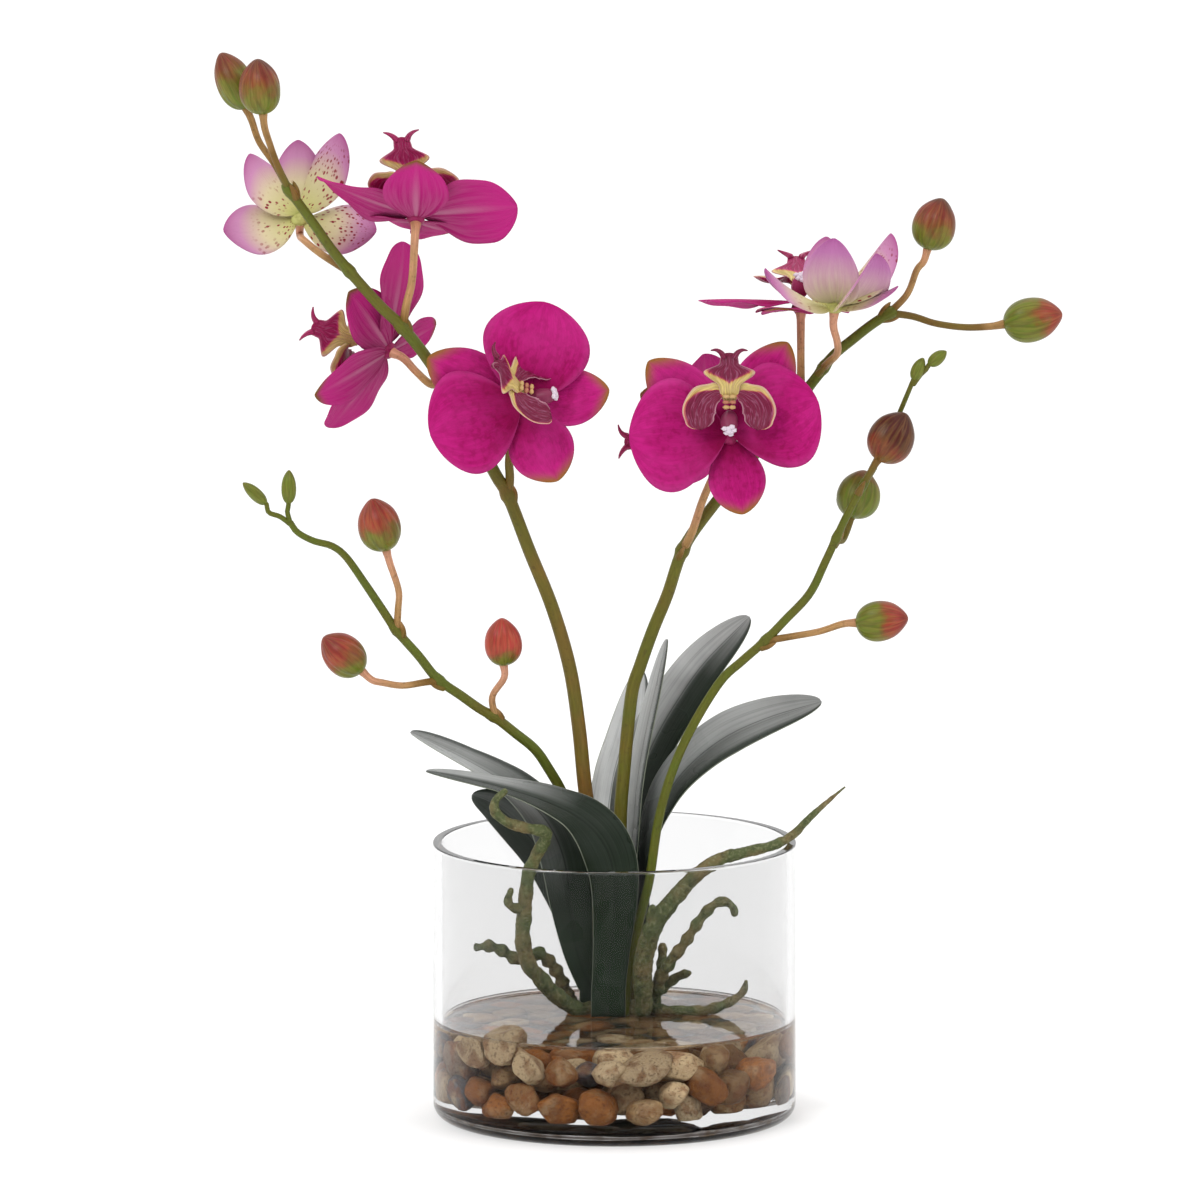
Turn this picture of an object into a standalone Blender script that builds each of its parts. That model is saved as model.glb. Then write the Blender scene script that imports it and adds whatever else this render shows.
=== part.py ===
"""Moth orchid standing in a round glass vase of water and river pebbles.

Lengths are in millimetres here and are scaled to metres as each mesh is made.
X runs to the right, Y to the back and Z up; the origin is the middle of the vase's flat base.
"""
import math
import random

import bmesh
import bpy
from mathutils import Matrix, Vector

MM = 0.001
GAP = 0.3
MERGE = 0.00001

# Vase: a straight glass cylinder with a heavy floor
VASE_RADIUS = 63.5
VASE_HEIGHT = 97.5
VASE_WALL = 3.5
VASE_FLOOR = 7.0
VASE_EDGE = 3.0
VASE_STEPS = 32
BORE_RADIUS = VASE_RADIUS - VASE_WALL

# Water: a thin sheet over the pebbles and the skirt of water between them and the glass
WATER_LEVEL = 33.0
WATER_SHEET = 3.0
WATER_SKIRT = 3.2

# Pebble bed: river pebbles round a core, in rings from the glass inwards.
# Each ring has its radius, its height, how many stones and how many sides each stone has.
BED_TOP = WATER_LEVEL - WATER_SHEET - 0.5
BED_CORE_RADIUS = 48.0
BED_CORE_TOP = 23.5
PEBBLE_HALF = (9.3, 7.6, 6.6)
PEBBLE_RINGS = ((46.5, 14.2, 13, 6), (46.0, 22.4, 12, 6), (29.5, 22.8, 10, 5), (12.5, 22.8, 4, 5))

# Crown: the short stem that the leaves, flower stems and roots grow from
CROWN = Vector((-1.0, 17.0, 0.0))
CROWN_RADIUS = 11.0
CROWN_TOP = 39.0
FOOT = CROWN_TOP + GAP
UPRIGHT = Vector((0.0, 0.0, 4.0))


def on_crown(turn, height):
    """The two points where a root leaves the crown's side squarely, at an angle in degrees."""
    way = Vector((math.cos(math.radians(turn)), math.sin(math.radians(turn)), 0))
    lift = Vector((0, 0, height))
    return CROWN + way * (CROWN_RADIUS + 1.3 * GAP) + lift, CROWN + way * (CROWN_RADIUS + 3.0) + lift


# Leaves widen from the foot until LEAF_FULL of their length and round off after LEAF_SHOULDER
LEAF_THICK = 1.0
LEAF_FULL = 0.5
LEAF_SHOULDER = 0.55

# Flowers: petals sit in front of the sepals round a small hub; cup and wave are shares of a half width
TEPAL_THICK = 0.8
TEPAL_NECK = 1.5
LAYER_STEP = 1.1
PETAL_CUP = 0.10
SEPAL_CUP = 0.16
PETAL_WAVE = 0.05
HUB_RADIUS = 3.2
HUB_BACK = 3.0
HUB_FRONT = 2.4

# Lip, in its flower's frame with the lip pointing down: column, middle lobe, side lobes and tendrils
LIP_THICK = 0.8
COLUMN_HALF = (2.4, 2.4, 4.2)
COLUMN_MIDDLE = (0.0, 0.8, 7.0)
COLUMN_LEAN = -8.0
MIDDLE_LOBE = ((0, -1.2, 5.6), (0, -6.5, 9.4), (0, -12, 13), (0, -15.5, 15.5), (0, -18, 19), (0, -19, 22))
MIDDLE_LOBE_HALVES = (1.2, 2.0, 2.4, 8.2, 3.4, 0)
SIDE_LOBE = ((0.5, -1.0, 7.4), (5, -5, 10), (10, -5.8, 13.8), (11.6, -6, 18.5))
SIDE_LOBE_HALVES = (1.0, 5.4, 5.8, 0)
TENDRIL = ((1.0, -17.6, 18.4), (4.2, -22, 22.6), (8, -23.6, 25.6))
TENDRIL_RADII = (1.0, 0.7, 0.45)

# Buds: taper towards the tip, the pinch of the tip, and the depth of the three folds
BUD_TAPER = 0.12
BUD_PINCH = 0.38
BUD_SHOULDER = 0.35
BUD_FOLD = 0.03

MATERIALS = {
    "vase": ((0.93, 0.97, 0.97), 0.02, 1.0),
    "water": ((0.90, 0.94, 0.93), 0.02, 1.0),
    "pebbles": ((0.52, 0.34, 0.20), 0.45, 0.0),
    "crown": ((0.05, 0.09, 0.03), 0.55, 0.0),
    "leaf": ((0.025, 0.065, 0.035), 0.32, 0.0),
    "root": ((0.16, 0.17, 0.07), 0.60, 0.0),
    "stem": ((0.20, 0.22, 0.05), 0.45, 0.0),
    "bud": ((0.24, 0.16, 0.06), 0.40, 0.0),
    "flower": ((0.50, 0.02, 0.23), 0.55, 0.0),
    "bloom": ((0.72, 0.55, 0.58), 0.55, 0.0),
    "lip": ((0.30, 0.02, 0.09), 0.50, 0.0),
}

# Each leaf: hand-set middle line, widths across (foot, widest), the way its width lies, and its keel
LEAVES = {
    "leaf_front": {
        "route": ((-3.0, 9.6, FOOT), (-1.2, 7.5, 57), (0, 4, 75.5), (-1, 1, 89), (-5, -2, 98.5),
                  (-12, -4, 106), (-21, -5, 111), (-33, -6, 115.5), (-47, -5, 119), (-66, -4, 123)),
        "wide": (7.6, 19.5),
        "sides": ((1, 0.05, 0), (1, 0.1, 0), (0.9, 0.3, 0.2), (0.5, 0.8, 0.2), (0.15, 1, 0.1), (0, 1, 0.1)),
        "keel": 0.16,
    },
    "leaf_left": {
        "route": ((-8.2, 12.6, FOOT), (-12.7, 10.5, 56.5), (-15.5, 9.5, 74.5), (-18, 10, 90),
                  (-23.5, 11.5, 102), (-33, 13.5, 112), (-42, 14.5, 118), (-54.5, 14, 125),
                  (-71.5, 12, 134)),
        "wide": (7.0, 20.0),
        "sides": ((0.92, 0.38, 0), (0.98, 0.15, 0), (0.85, 0.4, 0.2), (0.4, 0.8, 0.3), (0.1, 1, 0.25),
                  (0, 1, 0.25)),
        "keel": 0.18,
    },
    "leaf_left_back": {
        "route": ((-9.8, 18, FOOT), (-13.5, 19.5, 55.5), (-18, 21.5, 74), (-24.5, 22.5, 88),
                  (-33, 22, 98.5), (-42, 20.5, 106.5), (-50, 19, 110.5)),
        "wide": (5.5, 15.0),
        "sides": ((0.6, -0.8, 0), (0.75, -0.5, 0.4), (0.6, -0.1, 0.75), (0.45, 0.4, 0.75)),
        "keel": 0.12,
    },
    "leaf_upright": {
        "route": ((1, 20.8, FOOT), (4.0, 21.8, 62), (6.2, 22.3, 90), (8, 22.5, 113), (11, 23, 131),
                  (14.5, 24, 147), (18.5, 25.5, 165)),
        "wide": (6.0, 13.5),
        "sides": ((0.55, -0.85, 0), (0.42, -0.9, 0), (0.4, -0.9, 0), (0.4, -0.9, 0)),
        "keel": 0.15,
    },
    "leaf_right_tall": {
        "route": ((4.6, 24.4, FOOT), (4.8, 29.5, 68), (5.5, 34, 94), (9.0, 37, 114), (14.5, 38, 127.5),
                  (22, 38.5, 140.5), (32, 39, 154.5), (47.5, 39, 170.5)),
        "wide": (7.0, 19.5),
        "sides": ((0.97, -0.2, 0), (0.75, -0.65, -0.1), (0.7, -0.52, -0.38), (0.68, -0.5, -0.45)),
        "keel": 0.14,
    },
    "leaf_right_low": {
        "route": ((8.2, 18.2, FOOT), (10.4, 18.6, 62), (11.8, 18.6, 84), (13.8, 18.4, 99), (18.5, 16.6, 111),
                  (26, 14.5, 121.5), (38, 13, 131.5), (53, 10.5, 139), (72.5, 8, 145.5)),
        "wide": (5.6, 20.5),
        "sides": ((0.8, -0.6, 0), (0.25, -0.97, 0), (0.3, -0.85, -0.4), (0.25, -0.75, -0.6),
                  (0.2, -0.8, -0.55)),
        "keel": 0.16,
    },
    "leaf_back": {
        "route": ((-3.4, 24.8, FOOT), (-3.8, 33, 68), (-3.2, 41, 92), (-0.6, 46.5, 112), (3.6, 49.5, 127),
                  (7, 51, 140.5), (9, 51.5, 150)),
        "wide": (6.0, 17.0),
        "sides": ((0.95, 0.3, 0), (0.9, 0.45, 0), (0.85, 0.5, 0), (0.8, 0.5, 0.1)),
        "keel": 0.14,
    },
}

# Roots: each node is one clump; each strand has its route, its thickness along the way and its beading
ROOTS = {
    "root_front": (
        ((*on_crown(212, 36.2), (-21, 4, 42.5), (-26, 0, 49), (-30, -3, 54.5), (-32, -6, 64),
          (-31.5, -7, 72), (-30.5, -8, 84), (-28.5, -9, 91.5), (-24.5, -11, 99.5), (-24, -13, 103),
          (-29.5, -15, 104.5), (-37, -17, 107), (-41.5, -18, 111), (-41.5, -18, 115), (-38, -18, 118.5)),
         (2.3, 2.4, 2.2, 1.9, 1.6, 1.3), 0.08),
        (((-31.4, -7.3, 74.5), (-35.5, -9.5, 76), (-37, -10.5, 78.5), (-35.8, -10.5, 82.5)),
         (1.7, 1.6, 1.2), 0.10),
    ),
    "roots_left": (
        ((*on_crown(178, 36.6), (-17.5, 15, 43), (-21.5, 12, 51), (-27, 8, 56.5), (-33, 5, 54.5),
          (-38, 3, 57.5), (-43, 1.5, 60), (-48.5, 0, 60)), (2.1, 2.2, 2.0, 1.9), 0.22),
        (((-14, 16.6, 38.4), (-18, 18, 41.5), (-22.5, 18, 43.5)), (1.2, 0.8), 0.0),
    ),
    "root_over_rim": (
        ((*on_crown(321, 36.6), (10, 5.5, 45), (10, 4, 52), (11, 2.5, 59), (13, 0, 65.5),
          (16, -2, 71.5), (21, -3.5, 78), (27.5, -4.5, 85.5), (36, -5, 91.5), (46, -5, 94.5),
          (55, -4, 96.6), (62, -3, 100), (68, -2, 106), (75, 0, 112), (80.5, 1, 116.5)),
         (2.4, 2.5, 2.3, 2.0, 1.6, 1.1, 0.8), 0.05),
        (((12.4, 1, 64), (12.6, -1.5, 70), (13.4, -3.5, 75)), (1.8, 1.3), 0.1),
    ),
    "roots_right": (
        ((*on_crown(354, 36.4), (14.5, 13, 40), (15.5, 9, 45.5), (17.5, 4.5, 51), (20.5, 1.5, 56),
          (24, -1, 61), (27, -3, 66), (30.5, -4.5, 71.5), (34.5, -6, 76), (38, -7, 77.5),
          (41, -8, 76), (42, -8, 73)), (2.1, 2.2, 2.0, 1.8, 1.6), 0.18),
        (((11.6, 15.4, 36.6), (15.2, 15.6, 41), (19, 14, 44.5), (22.5, 12, 47.5), (26.5, 10, 49)),
         (1.9, 1.8, 1.4), 0.08),
        (((12.2, 15.8, 36.6), (15.2, 18, 43), (16.8, 19, 50), (17, 19, 57.5)), (1.9, 2.0, 1.6), 0.12),
        (((11.8, 15, 36.5), (15.5, 12.5, 35.6), (20, 11, 35.5), (26, 9.5, 35.6), (32, 9, 36),
          (37, 9.5, 37.2), (42, 10.5, 39.5), (45.5, 11, 42.5), (46.5, 11, 46)), (2.0, 1.9, 1.8, 1.3), 0.14),
    ),
}

# Buds: foot, tip and thickness across
BUDS = {
    "bud_top_left": ((-128, -3, 356.5), (-137, -1, 376), 12.8),
    "bud_top_front": ((-122, -13, 356), (-124, -14, 375.5), 14.4),
    "bud_left_high": ((-79.5, -7, 201.5), (-84.5, -8, 220), 14.8),
    "bud_left_low": ((-88, -5, 158.5), (-101.5, -7, 171), 14.0),
    "bud_left_inner": ((-38.7, 2, 159.5), (-39.3, 0, 176.5), 13.0),
    "bud_right_high": ((109, 8, 305.5), (114.2, 7, 323.5), 15.0),
    "bud_right_far": ((135.6, 11, 278.6), (156.3, 12, 282), 15.4),
    "bud_spray_top": ((91.6, -11, 234), (101.5, -10.5, 250.5), 16.0),
    "bud_spray_back": ((82.5, -0.5, 212), (87.5, 1.5, 228.5), 15.2),
    "bud_spray_side": ((84, -13, 177), (102.3, -15, 179), 14.0),
}

# Flowers: middle, the way the face looks, the way the top points, the lip's direction and the tepals.
# A tepal is its layer, direction round the face, length, width, rise from the face, further rise, twist.
FLOWERS = {
    "flower_front_left": {
        "at": (-32, -16, 254), "faces": (0.08, -0.95, 0.22), "up": (0, 0, 1), "lip": 165,
        "tepals": (("sepal", 152, 36, 21, -4, 4, 0), ("sepal", 10, 30, 20, -5, 8, 0),
                   ("sepal", -66, 28, 23, -2, 10, 0), ("petal", 76, 36, 38, 5, -8, 0),
                   ("petal", 196, 33, 37, 6, -10, 0)),
    },
    "flower_front_right": {
        "at": (40, -16, 243.5), "faces": (-0.02, -0.94, 0.32), "up": (0, 0, 1), "lip": 90,
        "tepals": (("sepal", -80, 27, 20, -3, 6, 0), ("sepal", 137, 38, 21, -4, 5, 0),
                   ("sepal", 59, 38, 21, -4, 5, 0), ("petal", 180, 34, 40, 6, -10, 0),
                   ("petal", 22, 32, 39, 6, -8, 0)),
    },
    "flower_behind_right": {
        "at": (31.5, 25, 240), "faces": (-0.85, 0.5, 0.1), "up": (0.5, 0.8, 0.2), "lip": -90,
        "tepals": (("sepal", 84, 24, 17, 0, 5, 0), ("petal", 10, 25, 30, 6, -6, 0),
                   ("petal", 195, 20, 26, 8, -4, 0), ("sepal", 308, 33, 18, 18, 6, 0),
                   ("sepal", 246, 24, 17, 10, 6, 0)),
    },
    "flower_left": {
        "at": (-79.6, 18, 268.5), "faces": (-0.8, 0.5, 0.33), "up": (0.52, 0.8, -0.2), "lip": -90,
        "tepals": (("sepal", 66, 27, 15, 0, 0, 0), ("petal", 2, 37, 32, 10, 10, 0),
                   ("petal", 180, 34, 30, 8, 12, 0), ("sepal", 305, 30, 20, 18, 8, 0),
                   ("sepal", 238, 37, 20, 4, 4, 0)),
    },
    "flower_top": {
        "at": (-69, -4, 318.6), "faces": (0.05, 0.62, 0.78), "up": (0, -0.8, 0.6), "lip": 76,
        "tepals": (("sepal", 90, 30, 23, 4, 16, 0), ("petal", 8, 36, 30, 12, 10, -30),
                   ("petal", 168, 35, 32, 4, -6, -22), ("sepal", 240, 28, 19, 16, 10, 0),
                   ("sepal", 303, 26, 18, 23, 10, 0)),
    },
    "flower_right_top": {
        "at": (65, 16, 284.5), "faces": (0, 0.17, 0.98), "up": (-0.25, -0.95, 0.15), "lip": -72,
        "tepals": (("sepal", 88, 27, 19, -3, 3, 0), ("petal", 6, 35, 32, 4, -6, 0),
                   ("petal", 200, 26, 30, 6, -2, 0), ("sepal", 308, 28, 18, 0, 4, 0),
                   ("sepal", 256, 28, 18, 0, 4, 0)),
    },
}

# Half-open flowers: the same, with every tepal in one cup and no spread lip
HALF_OPEN = {
    "bloom_right": {
        "at": (76.5, -10, 288.5), "faces": (0.05, 0, 1), "up": (0, 1, 0),
        "tepals": (("sepal", 180, 28, 15, 12, 30, 0), ("petal", 262, 27, 19, 44, 44, 0),
                   ("sepal", 318, 27, 17, 34, 36, 0), ("petal", 27, 31, 17, 40, 20, 0),
                   ("sepal", 105, 27, 17, 44, 30, 0), ("sepal", 352, 23, 10, 16, 16, 0)),
    },
    "bloom_left": {
        "at": (-109.8, 24, 314.5), "faces": (0, -0.4, 0.92), "up": (0, 0.92, 0.4),
        "tepals": (("sepal", 183, 26, 19, -10, 4, -70), ("petal", 140, 27, 16, 33, 4, 0),
                   ("sepal", 92, 28, 17, 40, 10, 0), ("petal", 52, 31, 17, 42, 6, 0),
                   ("sepal", -3, 26, 18, -10, 4, 70)),
    },
}

# Stems: the main stem's route and radii, then each branch's route and radii.
# A branch that names a flower or bud ends square behind it.
STEMS = {
    "flower_stem_left": {
        "main": (((-0.5, 15.2, FOOT), (-3.6, 17, 70), (-7.8, 16.5, 96), (-10.4, 16, 114.5),
                  (-12.5, 13, 136), (-15.7, 10, 157.5), (-21.7, 7, 179), (-29.9, 5, 200), (-37.2, 3, 219.5),
                  (-41.5, 2, 227),
                  (-54, 1, 250.5), (-65.5, 0, 268.5), (-74.5, -1, 280), (-82.5, -2, 288),
                  (-96.5, -3, 304.5), (-104.5, -4, 316), (-110.5, -5, 324.5), (-114.5, -5, 330)),
                 (2.75, 2.6, 2.4, 2.2, 2.0, 1.6)),
        "branches": (
            ("bud_top_left", ((-113, -5, 328), (-118, -5, 337), (-123.5, -4, 345)), 1.2),
            ("bud_top_front", ((-113, -5, 328), (-117, -8, 337), (-120, -11, 346)), 1.2),
            ("bloom_left", ((-92, -2.7, 299), (-97, 1, 301.5), (-103, 7, 304.5), (-108, 14, 307.5)), 1.3),
            ("flower_top", ((-73.7, -1, 279), (-72.5, -1, 287), (-70.5, -2, 296)), 1.4),
            ("flower_left", ((-60, 0.6, 260), (-64, 4, 258.5), (-69, 9, 262)), 1.4),
            ("flower_front_left", ((-37, 3, 219), (-36.5, 1.5, 226), (-36.5, -1.5, 235)), 1.5),
        ),
        "tips": (),
    },
    "flower_stem_right": {
        "main": (((5.5, 14.5, FOOT), (3, 15, 70), (2, 15, 100), (3.5, 15, 122), (6, 14, 147),
                  (9, 13, 157.5), (13.5, 12, 170.5), (18.5, 11, 183), (24.5, 9, 200.5), (36, 8, 217),
                  (52.5, 8, 237.5), (69.5, 9, 259), (76, 9, 267.5), (83, 9, 273.5), (90, 9, 279),
                  (97, 9, 283.5)), (2.6, 2.4, 2.3, 2.1, 1.9, 1.7)),
        "branches": (
            ("bud_right_high", ((95.5, 9, 282.6), (102, 9, 289.5), (105.3, 8.5, 298)), 1.2),
            ("bud_right_far", ((96, 9, 282.8), (104, 10, 281.5), (112, 10, 279), (122, 11, 277.5)), 1.2),
            ("flower_right_top", ((65, 9, 254), (65, 11, 262), (65, 13.5, 270)), 1.4),
            ("bloom_right", ((72.5, 9, 263), (74.5, 5, 266), (77.5, -1, 270), (77.5, -6, 275)), 1.3),
            ("flower_front_right", ((23.5, 9.3, 198.5), (27, 5, 206), (31, -1, 219), (36, -5, 231)), 1.4),
            ("flower_behind_right", ((40, 8, 222), (42, 14, 225), (43, 20, 231)), 1.4),
        ),
        "tips": (),
    },
    "bud_stem_left": {
        "main": (((-5.6, 18.6, FOOT), (-7.5, 21.2, 70), (-12, 22.6, 92), (-17.5, 22.4, 109),
                  (-23.5, 19.5, 120.5), (-28, 16, 127.5), (-34.5, 12.5, 133.5), (-41.5, 10, 139.5),
                  (-47, 8, 143), (-53.5, 6, 148), (-62, 4, 154.5), (-68.5, 2, 163), (-76, 0, 172),
                  (-81.5, -1, 180.5), (-87, -2, 189), (-93.5, -3, 198.5), (-98.5, -3, 202.5),
                  (-105, -4, 204.5), (-110.5, -4, 207.5), (-113, -4, 211)),
                 (1.9, 1.9, 1.8, 1.7, 1.5, 1.1)),
        "branches": (
            ("bud_left_high", ((-76, 0, 172), (-75.5, -2, 180), (-75.3, -4, 187)), 1.2),
            ("bud_left_low", ((-61, 4.2, 153.8), (-66, 2, 153.5), (-74, -1, 152.8), (-81, -3, 154.2)), 1.2),
            ("bud_left_inner", ((-41.5, 10, 139.5), (-42.7, 6.5, 147.5)), 1.2),
        ),
        "tips": (((-112.5, -4, 210), (-116.5, -4, 213), (-120.5, -4, 214.5), (-121.3, -4, 217.5),
                  (-129.5, -4, 225), 4.4),
                 ((-112.8, -4, 210), (-114, -4, 214.5), (-113.8, -4, 216), (-113.6, -4, 217.5),
                  (-113.4, -4, 229.5), 5.2)),
    },
    "bud_stem_right": {
        "main": (((4.2, 9.4, FOOT), (5.0, 10, 50), (7.4, 10, 62), (10, 8.4, 73), (12.5, 7, 84),
                  (15.5, 5, 104.5), (20.5, 3.6, 122.5), (27.5, 1, 138.5), (37, -2, 154.5),
                  (44.5, -4, 162), (52.5, -6, 169.5), (59.5, -7, 177), (68, -8, 186.5),
                  (73.5, -9, 198), (80.5, -10, 213.5), (86.5, -10, 225), (90.3, -10.6, 231.6)),
                 (1.65, 1.65, 1.6, 1.5, 1.3)),
        "branches": (
            ("bud_spray_side", ((52.5, -6, 169.5), (62.5, -8, 171.5), (71.5, -10, 173.5)), 1.2),
            ("bud_spray_back", ((77.1, -9.5, 206), (79.4, -5.5, 204.8)), 1.1),
            ("bud_spray_top", ((86.5, -10, 225),), 1.2),
        ),
        "tips": (((85.5, -10, 223), (91, -4, 233), (96.5, -0.2, 242.5), (104, -6, 261.5),
                  (107.5, -7, 269.5), 4.6),
                 ((104, -6, 260), (106.5, -6.5, 263.5), (108.5, -7, 265.5), (109.3, -7, 267),
                  (115.5, -8, 272), 4.6)),
    },
}


def to_object(name, mesh):
    piece = bpy.data.objects.new(name, mesh)
    PLANT.objects.link(piece)
    return piece


def bm_object(name, bm):
    """Finish a bmesh drawn in millimetres as an object in metres."""
    bmesh.ops.scale(bm, vec=(MM, MM, MM), verts=bm.verts)
    mesh = bpy.data.meshes.new(name)
    bm.to_mesh(mesh)
    bm.free()
    return to_object(name, mesh)


def settle(piece):
    """Give a piece the mesh that its modifiers make, and clear them."""
    graph = bpy.context.evaluated_depsgraph_get()
    mesh = bpy.data.meshes.new_from_object(piece.evaluated_get(graph))
    done = to_object(piece.name, mesh)
    done.matrix_world = piece.matrix_world
    name = piece.name
    bpy.data.objects.remove(piece)
    done.name = name
    return done


def fuse(name, pieces, solver="EXACT"):
    """Join overlapping solids into one closed body."""
    first = pieces[0]
    if len(pieces) > 1:
        group = bpy.data.collections.new(name + "_parts")
        bpy.context.scene.collection.children.link(group)
        for piece in pieces[1:]:
            group.objects.link(piece)
        join = first.modifiers.new("join", "BOOLEAN")
        join.operation = "UNION"
        join.operand_type = "COLLECTION"
        join.collection = group
        join.solver = solver
        first = settle(first)
        for piece in pieces[1:]:
            bpy.data.objects.remove(piece)
        bpy.data.collections.remove(group)
    first.name = name
    return first


def blend(values, t):
    """Read a list of numbers or vectors, evenly spread over 0 to 1, at t."""
    place = min(max(t, 0.0), 1.0) * (len(values) - 1)
    index = min(int(place), len(values) - 2)
    part = place - index
    return values[index] * (1.0 - part) + values[index + 1] * part


def smooth_route(points, spacing):
    """Points evenly spaced, about spacing apart, on a smooth curve through the route's own points."""
    route = [Vector(point) for point in points]
    ends = [route[0] * 2 - route[1]] + route + [route[-1] * 2 - route[-2]]
    dense = [route[0]]
    for before, start, end, after in zip(ends, ends[1:], ends[2:], ends[3:]):
        for step in range(1, 9):
            t = step / 8
            dense.append(0.5 * (2 * start + (end - before) * t
                                + (2 * before - 5 * start + 4 * end - after) * t ** 2
                                + (3 * start - before - 3 * end + after) * t ** 3))
    shares = lengths_along(dense)
    length = sum((end - start).length for start, end in zip(dense, dense[1:]))
    count = max(2, round(length / spacing))
    return [point_at(dense, shares, index / count) for index in range(count + 1)]


def lengths_along(points):
    """How far along the line each point is, from 0 to 1."""
    runs = [0.0]
    for start, end in zip(points, points[1:]):
        runs.append(runs[-1] + (end - start).length)
    return [run / runs[-1] for run in runs]


def point_at(points, shares, t):
    for start, end, low, high in zip(points, points[1:], shares, shares[1:]):
        if t <= high or end is points[-1]:
            return start.lerp(end, (t - low) / (high - low))


def tube(name, points, radii, spacing, beads=0.0, resolution=2):
    """Round stem or root along a smooth route, as a welded mesh.

    Its first and last stretches stay straight, so that its ends are cut square to them.
    """
    middle = smooth_route(points[1:-1], spacing) if len(points) > 3 else points[1:-1]
    route = [Vector(point) for point in (points[0], *middle, points[-1])]
    shares = lengths_along(route)
    curve = bpy.data.curves.new(name, "CURVE")
    curve.dimensions = "3D"
    curve.bevel_depth = MM
    curve.bevel_resolution = resolution
    curve.use_fill_caps = True
    spline = curve.splines.new("POLY")
    spline.points.add(len(route) - 1)
    for index, (point, share) in enumerate(zip(route, shares)):
        swell = 1.0 + beads * (-1) ** index
        spline.points[index].co = (*(point * MM), 1.0)
        spline.points[index].radius = blend(radii, share) * swell
    piece = to_object(name, curve)
    graph = bpy.context.evaluated_depsgraph_get()
    mesh = bpy.data.meshes.new_from_object(piece.evaluated_get(graph))
    bpy.data.objects.remove(piece)
    bm = bmesh.new()
    bm.from_mesh(mesh)
    bmesh.ops.remove_doubles(bm, verts=bm.verts, dist=MERGE)
    bmesh.ops.recalc_face_normals(bm, faces=bm.faces)
    bm.to_mesh(mesh)
    bm.free()
    return to_object(name, mesh)


def ribbon(name, centres, halves, sides, columns, arch, thick):
    """Thin curved blade: rows across a middle line, pointed at its tip, with Solidify's thickness.

    arch gives the lift of a point across the row, from -1 to 1, as a share of the half width.
    """
    bm = bmesh.new()
    rows = []
    last = len(centres) - 1
    for index, (centre, half, side) in enumerate(zip(centres, halves, sides)):
        along = (centres[min(index + 1, last)] - centres[max(index - 1, 0)]).normalized()
        across = (side - along * along.dot(side)).normalized()
        up = across.cross(along)
        if index == last:
            rows.append([bm.verts.new(centre)])
            continue
        row = []
        for column in range(columns + 1):
            place = 2.0 * column / columns - 1.0
            row.append(bm.verts.new(centre + across * place * half + up * arch(place, index / last) * half))
        rows.append(row)
    for low, high in zip(rows, rows[1:]):
        for column in range(columns):
            if len(high) == 1:
                bm.faces.new((low[column], low[column + 1], high[0]))
            else:
                bm.faces.new((low[column], low[column + 1], high[column + 1], high[column]))
    bmesh.ops.triangulate(bm, faces=bm.faces, quad_method="SHORT_EDGE")
    piece = bm_object(name, bm)
    shell = piece.modifiers.new("thickness", "SOLIDIFY")
    shell.thickness = thick * MM
    shell.offset = 0.0
    return piece


def leaf(name, spec, rows=11):
    """Strap leaf with a folded middle and a rounded, tapering tip."""
    start = Vector(spec["route"][0])
    dense = smooth_route((start + UPRIGHT, *spec["route"][1:]), 3.0)
    shares = lengths_along(dense)
    foot, wide = spec["wide"]
    sides = [Vector(side).normalized() for side in spec["sides"]]
    centres = [start]
    halves = [0.5 * foot]
    ways = [sides[0]]
    for row in range(rows + 1):
        t = 1.0 - (1.0 - row / rows) ** 1.25
        grow = min(t / LEAF_FULL, 1.0)
        half = 0.5 * (foot + (wide - foot) * grow * grow * (3 - 2 * grow))
        if t > LEAF_SHOULDER:
            half *= (1.0 - ((t - LEAF_SHOULDER) / (1.0 - LEAF_SHOULDER)) ** 2.4) ** 0.62
        centres.append(point_at(dense, shares, t))
        halves.append(half)
        ways.append(blend(sides, t))
    return ribbon(name, centres, halves, ways, 2, lambda place, t: spec["keel"] * abs(place), LEAF_THICK)


def facing(spec):
    """Matrix of a flower: its face looks along local Z and its top is local Y."""
    out = Vector(spec["faces"]).normalized()
    top = Vector(spec["up"])
    top = (top - out * out.dot(top)).normalized()
    right = top.cross(out)
    turn = Matrix((right, top, out)).transposed().to_4x4()
    return Matrix.Translation(Vector(spec["at"])) @ turn


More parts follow.
